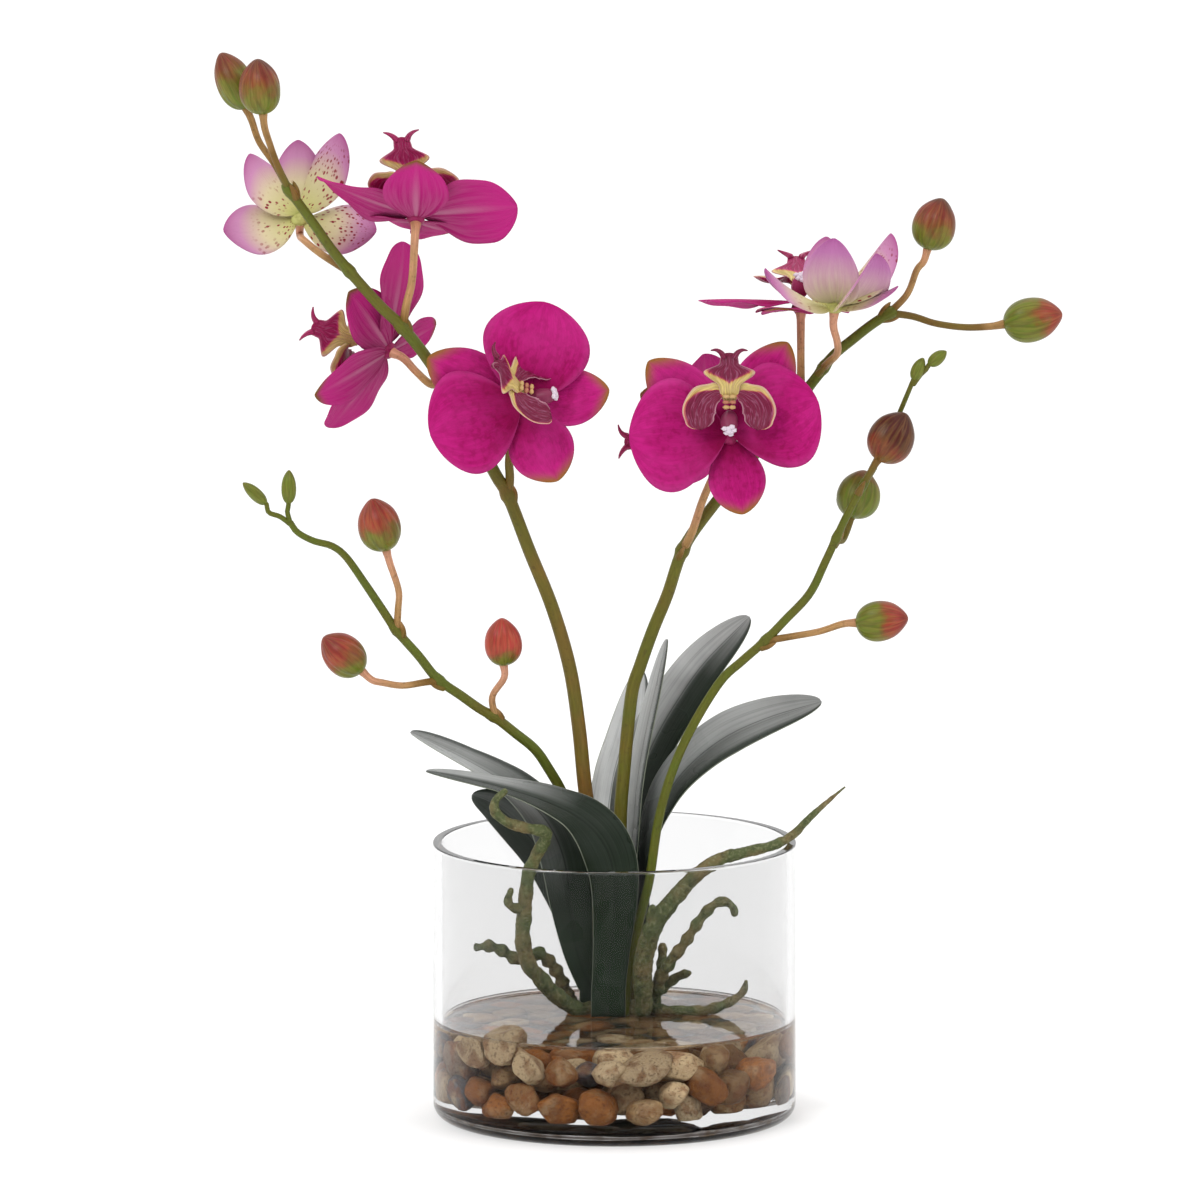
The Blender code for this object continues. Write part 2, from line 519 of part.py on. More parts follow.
def tepal(frame, spec, rows):
    """One petal or sepal, from inside the hub out to its tip, in the flower's frame."""
    layer, turn, length, width, rise, further, twist = spec
    petal = layer == "petal"
    out = Vector((math.cos(math.radians(turn)), math.sin(math.radians(turn)), 0))
    across = Vector((-out.y, out.x, 0))
    place = out + Vector((0, 0, LAYER_STEP if petal else -LAYER_STEP))
    skew, round_end = (1.25, 0.55) if petal else (1.1, 0.70)
    centres = []
    halves = []
    sides = []
    before = 0.0
    for row in range(rows + 1):
        t = 0.5 * (1.0 - math.cos(math.pi * row / rows))
        tilt = math.radians(rise + further * 0.5 * (t + before))
        place = place + (out * math.cos(tilt) + Vector((0, 0, math.sin(tilt)))) * length * (t - before)
        before = t
        body = 0.5 * width * math.sin(math.pi * t ** skew) ** round_end if 0 < t < 1 else 0.0
        halves.append(max(body, TEPAL_NECK * (1.0 - t)))
        lean = math.radians(twist * t)
        centres.append(frame @ place)
        sides.append(frame.to_3x3() @ (across * math.cos(lean) + Vector((0, 0, math.sin(lean)))))
    cup = PETAL_CUP if petal else SEPAL_CUP
    wave = PETAL_WAVE if petal else 0.0

    def arch(place, t):
        return cup * place * place + wave * place * abs(place) * math.sin(2.2 * math.pi * t + turn)

    return ribbon("tepal", centres, halves, sides, 4 if petal else 3, arch, TEPAL_THICK)


def ellipsoid(name, frame, half, segments, rings):
    bm = bmesh.new()
    bmesh.ops.create_uvsphere(bm, u_segments=segments, v_segments=rings, radius=1.0)
    bmesh.ops.transform(bm, matrix=frame @ Matrix.Diagonal((*half, 1.0)), verts=bm.verts)
    return bm_object(name, bm)


def hub(frame):
    """The small receptacle behind the tepals, which the flower stalk meets."""
    middle = Matrix.Translation((0, 0, 0.5 * (HUB_FRONT - HUB_BACK)))
    depth = 0.5 * (HUB_FRONT + HUB_BACK)
    return ellipsoid("hub", frame @ middle, (HUB_RADIUS, HUB_RADIUS, depth), 8, 4)


def bloom(name, spec, rows):
    frame = facing(spec)
    pieces = [hub(frame)]
    for tepal_spec in spec["tepals"]:
        pieces.append(settle(tepal(frame, tepal_spec, rows)))
    return fuse(name, pieces)


def lip(name, spec):
    """Column, two side lobes, middle lobe with its teeth, and two tendrils."""
    frame = facing(spec) @ Matrix.Rotation(math.radians(spec["lip"] + 90.0), 4, "Z")

    def blade(points, halves, side, bend):
        centres = [frame @ Vector(point) for point in points]
        sides = [frame.to_3x3() @ Vector(side)] * len(points)
        lobe = ribbon("lobe", centres, halves, sides, 2, lambda place, t: bend * abs(place), LIP_THICK)
        return settle(lobe)

    column = Matrix.Translation(COLUMN_MIDDLE) @ Matrix.Rotation(math.radians(COLUMN_LEAN), 4, "X")
    pieces = [
        ellipsoid("column", frame @ column, COLUMN_HALF, 6, 4),
        blade(MIDDLE_LOBE, MIDDLE_LOBE_HALVES, (1, 0, 0), 0.15),
    ]
    for way in (-1, 1):
        lobe = [(way * x, y, z) for x, y, z in SIDE_LOBE]
        pieces.append(blade(lobe, SIDE_LOBE_HALVES, (0, -way, 0.25), 0.1))
        tendril = [frame @ Vector((way * x, y, z)) for x, y, z in TENDRIL]
        pieces.append(tube("tendril", tendril, TENDRIL_RADII, 5.0, resolution=0))
    return fuse(name.replace("flower", "lip"), pieces)


def bud(name, foot, tip, width, segments=8, rings=6):
    """Closed bud: an egg with a drawn-out tip and three shallow folds."""
    axis = Vector(tip) - Vector(foot)
    bm = bmesh.new()
    bmesh.ops.create_uvsphere(bm, u_segments=segments, v_segments=rings, radius=1.0)
    for vert in bm.verts:
        height = vert.co.z
        turn = math.atan2(vert.co.y, vert.co.x)
        point = max(0.0, (height - BUD_SHOULDER) / (1.0 - BUD_SHOULDER))
        folds = 1.0 + BUD_FOLD * math.cos(3 * turn)
        squeeze = (1.0 - BUD_TAPER * height) * (1.0 - BUD_PINCH * point * point) * folds
        vert.co.x *= squeeze * 0.5 * width
        vert.co.y *= squeeze * 0.5 * width
        vert.co.z = (height + 1.0) * 0.5 * axis.length
    way = axis.to_track_quat("Z", "Y").to_matrix().to_4x4()
    bmesh.ops.transform(bm, matrix=Matrix.Translation(Vector(foot)) @ way, verts=bm.verts)
    return bm_object(name, bm)


def seat(name):
    """Where a branch ends under its bud or flower, and the way it points there."""
    if name in BUDS:
        foot, tip, width = BUDS[name]
        way = (Vector(tip) - Vector(foot)).normalized()
        return Vector(foot) - way * GAP, way
    spec = FLOWERS.get(name) or HALF_OPEN[name]
    way = Vector(spec["faces"]).normalized()
    return Vector(spec["at"]) - way * (HUB_BACK + GAP), way


def stem(name, spec):
    route, radii = spec["main"]
    upright = Vector(route[0]) + UPRIGHT
    pieces = [tube("main", (route[0], upright, *route[1:]), radii, 16.5)]
    for target, points, radius in spec["branches"]:
        end, way = seat(target)
        path = [Vector(point) for point in points] + [end - way * 5.0, end]
        pieces.append(tube("branch", path, (radius, radius), 7.0, resolution=1))
    for *points, foot, tip, width in spec["tips"]:
        path = points + [foot, Vector(foot).lerp(Vector(tip), 0.3)]
        pieces.append(tube("branch", path, (0.9, 0.8), 6.0, resolution=1))
        pieces.append(bud("tip", foot, tip, width, 7, 4))
    return fuse(name, pieces)


def turned(name, profile, steps):
    """Solid of revolution about the vase's axis; the profile runs down its outer side."""
    mesh = bpy.data.meshes.new(name)
    points = [(radius * MM, 0.0, height * MM) for radius, height in profile]
    mesh.from_pydata(points, [(index, index + 1) for index in range(len(points) - 1)], [])
    piece = to_object(name, mesh)
    screw = piece.modifiers.new("turn", "SCREW")
    screw.axis = "Z"
    screw.angle = math.tau
    screw.steps = steps
    screw.render_steps = steps
    screw.use_merge_vertices = True
    screw.merge_threshold = MERGE
    return piece


def arc(centre_r, centre_z, radius, start, end, steps):
    """Points of a round corner in a turned profile, angles in degrees."""
    points = []
    for step in range(steps + 1):
        angle = math.radians(start + (end - start) * step / steps)
        points.append((centre_r + radius * math.cos(angle), centre_z + radius * math.sin(angle)))
    return points


def vase():
    rim = 0.5 * VASE_WALL
    profile = [(0.0, VASE_FLOOR)]
    profile += arc(BORE_RADIUS - VASE_EDGE, VASE_FLOOR + VASE_EDGE, VASE_EDGE, -90, 0, 2)
    profile += arc(VASE_RADIUS - rim, VASE_HEIGHT - rim, rim, 180, 0, 4)
    profile += arc(VASE_RADIUS - VASE_EDGE, VASE_EDGE, VASE_EDGE, 0, -90, 3)
    profile += [(0.0, 0.0)]
    return turned("vase", profile, VASE_STEPS)


def water():
    """The sheet of water over the pebbles, open where the crown stands in it."""
    outer = BORE_RADIUS - GAP
    inner = outer - WATER_SKIRT
    under = WATER_LEVEL - WATER_SHEET
    foot = VASE_FLOOR + VASE_EDGE + GAP
    profile = [(0.0, under), (inner, under), (inner, foot), (outer, foot), (outer, WATER_LEVEL)]
    profile = [(0.0, WATER_LEVEL)] + profile[::-1]
    piece = turned("water", profile, VASE_STEPS)
    bm = bmesh.new()
    bmesh.ops.create_cone(bm, cap_ends=True, segments=18, radius1=CROWN_RADIUS + 2 * GAP,
                          radius2=CROWN_RADIUS + 2 * GAP, depth=4 * WATER_SHEET)
    bmesh.ops.translate(bm, vec=CROWN + Vector((0, 0, WATER_LEVEL)), verts=bm.verts)
    cutter = bm_object("crown_hole", bm)
    PLANT.objects.unlink(cutter)
    CUTTERS.objects.link(cutter)
    cutter.hide_render = True
    cutter.display_type = "WIRE"
    cut = piece.modifiers.new("crown_hole", "BOOLEAN")
    cut.operation = "DIFFERENCE"
    cut.object = cutter
    return piece


def pebbles():
    """River pebbles of mixed size, turned and tilted at random, sunk in a common core."""
    draw = random.Random(11)
    floor = VASE_FLOOR + GAP
    core = settle(turned("core", [(0.0, BED_CORE_TOP), (BED_CORE_RADIUS, BED_CORE_TOP),
                                  (BED_CORE_RADIUS, floor), (0.0, floor)], 16))
    stones = [core]
    for ring, (radius, height, count, sides) in enumerate(PEBBLE_RINGS):
        for index in range(count):
            turn = math.tau * (index + 0.5 * (ring % 2) + draw.uniform(-0.12, 0.12)) / count
            size = draw.uniform(0.86, 1.06)
            half = [value * size for value in PEBBLE_HALF]
            half[2] = min(half[2], BED_TOP - height, height - floor)
            middle = Matrix.Translation((radius * math.cos(turn), radius * math.sin(turn), height))
            spin = Matrix.Rotation(turn + math.pi / 2 + draw.uniform(-0.3, 0.3), 4, "Z")
            bm = bmesh.new()
            bmesh.ops.create_uvsphere(bm, u_segments=sides, v_segments=4, radius=1.0)
            for vert in bm.verts:
                vert.co *= 1.0 + draw.uniform(-0.06, 0.0)
            bmesh.ops.transform(bm, matrix=middle @ spin @ Matrix.Diagonal((*half, 1.0)), verts=bm.verts)
            stones.append(bm_object("stone", bm))
    return fuse("pebbles", stones)


def crown():
    bm = bmesh.new()
    foot = BED_TOP + GAP
    bmesh.ops.create_cone(bm, cap_ends=True, segments=18, radius1=CROWN_RADIUS, radius2=CROWN_RADIUS,
                          depth=CROWN_TOP - foot)
    bmesh.ops.translate(bm, vec=CROWN + Vector((0, 0, 0.5 * (CROWN_TOP + foot))), verts=bm.verts)
    return bm_object("crown", bm)


def root(name, strands):
    pieces = []
    for points, radii, beads in strands:
        pieces.append(tube("strand", points, radii, 6.0, beads, resolution=1))
    return fuse(name, pieces)


def finish(piece, kind):
    """Give a piece the material of its kind and smooth shading with sharp rims."""
    colour, roughness, clear = MATERIALS[kind]
    material = bpy.data.materials.new(piece.name)
    material.use_nodes = True
    shader = material.node_tree.nodes["Principled BSDF"]
    shader.inputs["Base Color"].default_value = (*colour, 1.0)
    shader.inputs["Roughness"].default_value = roughness
    shader.inputs["Metallic"].default_value = 0.0
    shader.inputs["Transmission Weight"].default_value = clear
    material.diffuse_color = (*colour, 1.0)
    piece.data.materials.clear()
    piece.data.materials.append(material)
    piece.data.shade_smooth()
    piece.data.set_sharp_from_angle(angle=math.radians(50))


for old in list(bpy.data.objects):
    bpy.data.objects.remove(old)
PLANT = bpy.data.collections.new("orchid_in_glass_vase")
CUTTERS = bpy.data.collections.new("cutters")
bpy.context.scene.collection.children.link(PLANT)
bpy.context.scene.collection.children.link(CUTTERS)

finish(vase(), "vase")
finish(water(), "water")
finish(pebbles(), "pebbles")
finish(crown(), "crown")
for name, spec in LEAVES.items():
    finish(leaf(name, spec), "leaf")
for name, strands in ROOTS.items():
    finish(root(name, strands), "root")
for name, spec in STEMS.items():
    finish(stem(name, spec), "stem")
for name, (foot, tip, width) in BUDS.items():
    finish(bud(name, foot, tip, width), "bud")
for name, spec in FLOWERS.items():
    finish(bloom(name, spec, 5), "flower")
    finish(lip(name, spec), "lip")
for name, spec in HALF_OPEN.items():
    finish(bloom(name, spec, 4), "bloom")
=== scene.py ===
import math
import random

import bmesh
import bpy
from mathutils import Matrix, Vector, noise


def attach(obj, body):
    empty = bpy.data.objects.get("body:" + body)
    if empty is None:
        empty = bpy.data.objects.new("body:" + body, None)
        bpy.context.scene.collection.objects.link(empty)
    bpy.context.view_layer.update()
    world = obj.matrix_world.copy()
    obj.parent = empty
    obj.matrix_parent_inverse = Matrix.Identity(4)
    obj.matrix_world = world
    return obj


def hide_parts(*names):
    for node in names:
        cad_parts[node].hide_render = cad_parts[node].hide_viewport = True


# Artificial moth orchid with magenta silk flowers, set in clear resin "water" over river pebbles
# in a glass vase. Lengths are written in millimetres; X is right, Y is back and Z is up.
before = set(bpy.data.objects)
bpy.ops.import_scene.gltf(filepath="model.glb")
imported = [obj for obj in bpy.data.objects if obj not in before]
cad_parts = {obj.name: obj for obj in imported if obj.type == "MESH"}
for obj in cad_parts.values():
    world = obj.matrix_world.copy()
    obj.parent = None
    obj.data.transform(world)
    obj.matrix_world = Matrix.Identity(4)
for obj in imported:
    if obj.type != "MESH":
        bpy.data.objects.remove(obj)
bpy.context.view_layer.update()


# Glass vase
# A straight cylinder of clear pressed glass with a heavy floor and a fire-polished rim.
# Its underside is pushed up a little, so it stands on a ring, and all the rest stands in it.
MM = 0.001
VASE_RADIUS = 63.5
VASE_HEIGHT = 97.5
VASE_WALL = 3.1
VASE_FLOOR = 7.0
VASE_EDGE = 3.0
BORE_RADIUS = VASE_RADIUS - VASE_WALL
WATER_LEVEL = 34.4
UNDER_WATER = WATER_LEVEL - 0.4
BONDED_BELOW = WATER_LEVEL - 0.2
A_HAIR = 0.01

# The rim's corners are melted round; from RIM_START up the glass has the rim's own finish
RIM_EDGE = 0.5
RIM_STEP = 0.3
RIM_START = VASE_HEIGHT - RIM_EDGE - 0.4

# The foot's round corner, and how far the underside has risen at each radius
VASE_FOOT_EDGE = 5.2
FOOT_STEP = 0.6
# From this radius out the foot's glass carries the painted reflection of the stones
FOOT_REFLECTION_FROM = 57.8
VASE_PUSHED_UP = 1.6
UNDERSIDE_RISE = ((50.0, 0.45), (42.0, 0.85), (30.0, 1.0), (0.0, 1.0))
INSIDE_HEIGHTS = (10.4, 15, 20, 26, 31, UNDER_WATER, WATER_LEVEL, 36, 45, 60, 75, 90, 95, RIM_START)
OUTSIDE_HEIGHTS = (RIM_START, 95, 90, 75, 60, 45, 30, 15, 8, VASE_FOOT_EDGE + 0.4)

# Wall and resin mirror about an eighth of what clear glass does, or the white room veils the leaves
FAINT_GLOSS = (0.12, 0.12, 0.12, 1.0)
GLASS_CLEAR = (231, 231, 231)
GLASS_LETS_BY = (0.97, 0.98, 0.98, 1.0)
# The brown of the stones' painted reflection in the thick foot
FOOT_REFLECTION_BROWN = (36, 23, 12)


def arc(centre_r, centre_z, radius, start, end, steps):
    """Points of a round corner in a turned profile, angles in degrees."""
    points = []
    for step in range(steps + 1):
        angle = math.radians(start + (end - start) * step / steps)
        points.append((centre_r + radius * math.cos(angle), centre_z + radius * math.sin(angle)))
    return points


def turned(profile, steps):
    """Closed turned shape; its profile runs from the axis to the axis, outside on the right."""
    bm = bmesh.new()
    rings = []
    for radius, height in profile:
        ring = []
        for step in range(steps if radius > 0 else 1):
            turn = math.tau * step / steps
            ring.append(bm.verts.new((radius * math.cos(turn), radius * math.sin(turn), height)))
        rings.append(ring)
    for low, high in zip(rings, rings[1:]):
        for step in range(steps):
            after = (step + 1) % steps
            corners = [low[step % len(low)], low[after % len(low)],
                       high[after % len(high)], high[step % len(high)]]
            bm.faces.new(list(dict.fromkeys(corners)))
    bmesh.ops.recalc_face_normals(bm, faces=bm.faces)
    return bm


def make_piece(name, bm, finishes):
    """A shape drawn in millimetres becomes a smooth piece in metres with its finishes."""
    bmesh.ops.scale(bm, vec=(MM, MM, MM), verts=bm.verts)
    mesh = bpy.data.meshes.new(name)
    bm.to_mesh(mesh)
    bm.free()
    for finish in finishes:
        mesh.materials.append(finish)
    mesh.shade_smooth()
    piece = bpy.data.objects.new(name, mesh)
    bpy.context.scene.collection.objects.link(piece)
    return piece


def add_node(tree, kind, inputs=None, **settings):
    """Add a shader node; an input is linked where it is given an output, and set otherwise."""
    node = tree.nodes.new("ShaderNode" + kind)
    for key, value in settings.items():
        setattr(node, key, value)
    for key, value in (inputs or {}).items():
        if isinstance(value, bpy.types.NodeSocket):
            tree.links.new(value, node.inputs[key])
        else:
            node.inputs[key].default_value = value
    return node


def new_finish(name, plain):
    """A material whose shader has its plain colours and numbers set on its own sockets."""
    finish = bpy.data.materials.new(name)
    finish.use_nodes = True
    shader = finish.node_tree.nodes["Principled BSDF"]
    for socket, value in plain.items():
        shader.inputs[socket].default_value = value
    return finish, finish.node_tree, shader


def new_group(name, inputs):
    """Empty shader node group with number inputs and one number output, called Mask."""
    group = bpy.data.node_groups.new(name, "ShaderNodeTree")
    for label, value in inputs.items():
        socket = group.interface.new_socket(label, in_out="INPUT", socket_type="NodeSocketFloat")
        socket.default_value = value
    group.interface.new_socket("Mask", in_out="OUTPUT", socket_type="NodeSocketFloat")
    return group, group.nodes.new("NodeGroupInput"), group.nodes.new("NodeGroupOutput")


# Cloudy patches, so many to the metre, between two levels of a noise
patches, given, result = new_group("patches", {"Size": 100.0, "Detail": 2.0, "Low": 0.4, "High": 0.6})
spot = add_node(patches, "TexCoord").outputs["Object"]
cloud = add_node(patches, "TexNoise", {"Vector": spot, "Scale": given.outputs["Size"],
                                       "Detail": given.outputs["Detail"]})
level = add_node(patches, "MapRange", {"Value": cloud.outputs["Fac"], "From Min": given.outputs["Low"],
                                       "From Max": given.outputs["High"]})
patches.links.new(level.outputs["Result"], result.inputs["Mask"])


def patchy(tree, size, low=0.4, high=0.6, detail=2.0):
    """How much of a patch each place is, 0 to 1."""
    group = add_node(tree, "Group", {}, node_tree=patches)
    for label, value in (("Size", size), ("Detail", detail), ("Low", low), ("High", high)):
        group.inputs[label].default_value = value
    return group.outputs["Mask"]


def roughen(tree, shader, height, strength, depth):
    """Lift the surface of a finish a little where height is high; depth is in millimetres."""
    bump = add_node(tree, "Bump", {"Height": height, "Strength": strength, "Distance": depth * MM})
    tree.links.new(bump.outputs["Normal"], shader.inputs["Normal"])


def let_light_through(tree, shader, tint):
    """Light reaches what stands in the glass: shadow and diffuse rays go straight through.
    So does all light where glass and resin are bonded, as there is no surface left between them."""
    path = add_node(tree, "LightPath")
    straight = add_node(tree, "Math", {0: path.outputs["Is Shadow Ray"], 1: path.outputs["Is Diffuse Ray"]},
                        operation="MAXIMUM")
    clear = add_node(tree, "BsdfTransparent", {"Color": tint})
    mix = add_node(tree, "MixShader", {0: straight.outputs[0], 1: shader.outputs[0], 2: clear.outputs[0]})
    bonded = add_node(tree, "Attribute", {}, attribute_name="bonded").outputs["Fac"]
    bond = add_node(tree, "BsdfTransparent", {"Color": (1.0, 1.0, 1.0, 1.0)})
    whole = add_node(tree, "MixShader", {0: bonded, 1: mix.outputs[0], 2: bond.outputs[0]})
    tree.links.new(whole.outputs[0], tree.nodes["Material Output"].inputs["Surface"])


def point_mark(bm, name):
    """The number of that name which each point of a shape carries, for its material to read."""
    return bm.verts.layers.float.get(name) or bm.verts.layers.float.new(name)


def mark_points(bm, name, is_marked):
    """Mark points of a turned shape; is_marked reads a radius and a height."""
    layer = point_mark(bm, name)
    for vert in bm.verts:
        vert[layer] = 1.0 if is_marked(math.hypot(vert.co.x, vert.co.y), vert.co.z) else 0.0


def paint(red, green, blue):
    """A colour as it shows on screen, 0 to 255, as the shader's own numbers."""
    return (*(((value / 255 + 0.055) / 1.055) ** 2.4 if value > 10 else value / 3294.6
              for value in (red, green, blue)), 1.0)


def mix_colour(tree, factor, under, over):
    """Lay one colour over another; each is a colour on screen or a node's output."""
    mix = add_node(tree, "Mix", {}, data_type="RGBA")
    for key, value in ((0, factor), (6, under), (7, over)):
        if isinstance(value, bpy.types.NodeSocket):
            tree.links.new(value, mix.inputs[key])
        else:
            mix.inputs[key].default_value = paint(*value) if isinstance(value, tuple) else value
    return mix.outputs[2]


def calculate(tree, operation, first, second=None):
    """One step of sums; each side is a plain number or a node's output."""
    inputs = {0: first} if second is None else {0: first, 1: second}
    return add_node(tree, "Math", inputs, operation=operation).outputs[0]


def lay_over(tree, mask, strength, under, over):
    """Lay one colour over another by a mask, at a part of its full strength."""
    return mix_colour(tree, calculate(tree, "MULTIPLY", mask, strength), under, over)


def between(tree, value, low, high, to_low=0.0, to_high=1.0):
    """Ease a value from one level to another as it passes between two marks."""
    return add_node(tree, "MapRange", {"Value": value, "From Min": low, "From Max": high, "To Min": to_low,
                                       "To Max": to_high}, interpolation_type="SMOOTHSTEP").outputs["Result"]


def mark_of(tree, name):
    """A number that the shape carries at its points."""
    return add_node(tree, "Attribute", {}, attribute_name=name).outputs["Fac"]


# The thick foot mirrors the wet stones that stand over it: that band is a painted reflection, a patchy brown
# painted into the glass there
clear_glass, tree, shader = new_finish("clear_glass", {
    "Base Color": paint(*GLASS_CLEAR), "Roughness": 0.0, "IOR": 1.5, "Transmission Weight": 1.0,
    "Specular Tint": FAINT_GLOSS})
uneven = between(tree, patchy(tree, 150.0, 0.35, 0.65, 3.0), 0.0, 1.0, 0.86, 1.0)
tree.links.new(lay_over(tree, mark_of(tree, "foot"), uneven, GLASS_CLEAR, FOOT_REFLECTION_BROWN),
               shader.inputs["Base Color"])
roughen(tree, shader, patchy(tree, 22.0, 0.2, 0.8, 1.0), 0.35, 0.10)
let_light_through(tree, shader, GLASS_LETS_BY)

# The melted rim keeps its full gloss, and its glass is painted clearer than the wall's, a painted glow for
# the light that runs up inside the wall, so it stands out as a fine line
rim_painted_bright, tree, shader = new_finish("rim_painted_bright", {
    "Base Color": paint(250, 250, 250), "Roughness": 0.0, "IOR": 1.5, "Transmission Weight": 1.0})
tree.links.new(mix_colour(tree, patchy(tree, 40.0, 0.3, 0.7), (252, 252, 252), (240, 242, 241)),
               shader.inputs["Base Color"])
let_light_through(tree, shader, GLASS_LETS_BY)

profile = [(0.0, VASE_FLOOR)]
profile += arc(BORE_RADIUS - VASE_EDGE, VASE_FLOOR + VASE_EDGE, VASE_EDGE, -90, 0, 8)
profile += [(BORE_RADIUS, height) for height in INSIDE_HEIGHTS]
profile += arc(BORE_RADIUS + RIM_EDGE, VASE_HEIGHT - RIM_EDGE, RIM_EDGE, 180, 90, 6)
profile.append((BORE_RADIUS + RIM_EDGE + RIM_STEP, VASE_HEIGHT))
profile.append((VASE_RADIUS - RIM_EDGE - RIM_STEP, VASE_HEIGHT))
profile += arc(VASE_RADIUS - RIM_EDGE, VASE_HEIGHT - RIM_EDGE, RIM_EDGE, 90, 0, 6)
profile += [(VASE_RADIUS, height) for height in OUTSIDE_HEIGHTS]
profile += arc(VASE_RADIUS - VASE_FOOT_EDGE, VASE_FOOT_EDGE, VASE_FOOT_EDGE, 0, -90, 14)
profile.append((VASE_RADIUS - VASE_FOOT_EDGE - FOOT_STEP, 0.0))
profile += [(radius, share * VASE_PUSHED_UP) for radius, share in UNDERSIDE_RISE]
bm = turned(profile, 200)
mark_points(bm, "bonded", lambda radius, height: radius < BORE_RADIUS + A_HAIR
            and VASE_FLOOR - A_HAIR < height < BONDED_BELOW)
# The points of the foot whose glass is painted with the stones' reflection
mark_points(bm, "foot", lambda radius, height: radius > FOOT_REFLECTION_FROM
            and height < VASE_FOOT_EDGE + A_HAIR)
for face in bm.faces:
    face.material_index = 1 if face.calc_center_median().z > RIM_START else 0
piece = make_piece("glass_vase", bm, [clear_glass, rim_painted_bright])
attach(piece, "root")
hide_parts("vase")


# River pebbles
# Tumbled river pebbles of tan, cream, brown and grey stone, poured loose into the vase.
# They lie two or three deep, out to the glass, and a few reach the water's surface.
PEBBLE_COUNT = 142
PEBBLE_SIZE = (5.2, 8.2)
PEBBLE_REACH = BORE_RADIUS - 0.4
PEBBLE_TOPS = (26.0, 32.6)
PEBBLE_STRETCH = ((0.98, 1.45), (0.84, 1.08), (0.70, 0.98))
PEBBLE_FACETS = 11
PEBBLE_DEPTHS = (0.70, 1.04)
PEBBLE_CRISP = 11.0
PEBBLE_TONES = ((0.0, (74, 46, 26)), (0.12, (132, 78, 34)), (0.26, (186, 116, 52)), (0.38, (112, 70, 38)),
                (0.50, (156, 122, 82)), (0.66, (200, 178, 142)), (0.84, (160, 126, 86)), (0.94, (84, 84, 88)))

# Three stones are heaped up to the surface at the front left: the middle and half the width of each
HEAP_AT_FRONT = ((-46, -33, 29.8, 7.0), (-38, -41, 32.6, 7.2), (-29, -47, 26.8, 6.4))
HEAP_TOP = 60.0

# How often the stones push each other apart, how close two may lie, and the part of its own size that
# each keeps clear above the floor and below its top
SETTLING_ROUNDS = 70
STONES_APART = 0.92
ROOM_BELOW = 0.8
ROOM_ABOVE = 0.72


def colour_ramp(tree, factor, stops):
    """Colours that follow each other as a number grows; a stop is a place from 0 to 1 and a colour."""
    ramp = add_node(tree, "ValToRGB", {"Fac": factor})
    elements = ramp.color_ramp.elements
    while len(elements) < len(stops):
        elements.new(0.5)
    for element, (place, colour) in zip(elements, stops):
        element.position = place
    for element, (place, colour) in zip(elements, stops):
        element.color = paint(*colour)
    return ramp.outputs["Color"]


def keep_inside(point, limit):
    """Draw a point in towards the vase's axis until it lies no further out than the limit."""
    wide = math.hypot(point.x, point.y)
    if wide > limit:
        point.x *= limit / wide
        point.y *= limit / wide


def poured(draw):
    """Middles and half widths of pebbles that push each other apart in the bottom of the vase."""
    stones = [[Vector(place), size, HEAP_TOP] for *place, size in HEAP_AT_FRONT]
    while len(stones) < PEBBLE_COUNT:
        out = PEBBLE_REACH * math.sqrt(draw.random())
        turn = draw.uniform(0, math.tau)
        size = PEBBLE_SIZE[0] + (PEBBLE_SIZE[1] - PEBBLE_SIZE[0]) * draw.random() ** 1.2
        top = draw.uniform(*PEBBLE_TOPS)
        height = draw.uniform(VASE_FLOOR, top)
        stones.append([Vector((out * math.cos(turn), out * math.sin(turn), height)), size, top])
    for settling in range(SETTLING_ROUNDS):
        for index, (place, size, top) in enumerate(stones):
            for other, other_size, _ in stones[index + 1:]:
                apart = place - other
                reach = STONES_APART * (size + other_size)
                if apart.length_squared < reach * reach:
                    push = apart.normalized() * 0.5 * (reach - apart.length)
                    place += push
                    other -= push
            if index < len(HEAP_AT_FRONT):
                place[:] = HEAP_AT_FRONT[index][:3]
            place.z = min(max(place.z, VASE_FLOOR + ROOM_BELOW * size), top - ROOM_ABOVE * size)
            keep_inside(place, PEBBLE_REACH - size)
    for stone, spot in zip(stones, HEAP_AT_FRONT):
        stone[0][:] = spot[:3]
    return [stone[:2] for stone in stones]


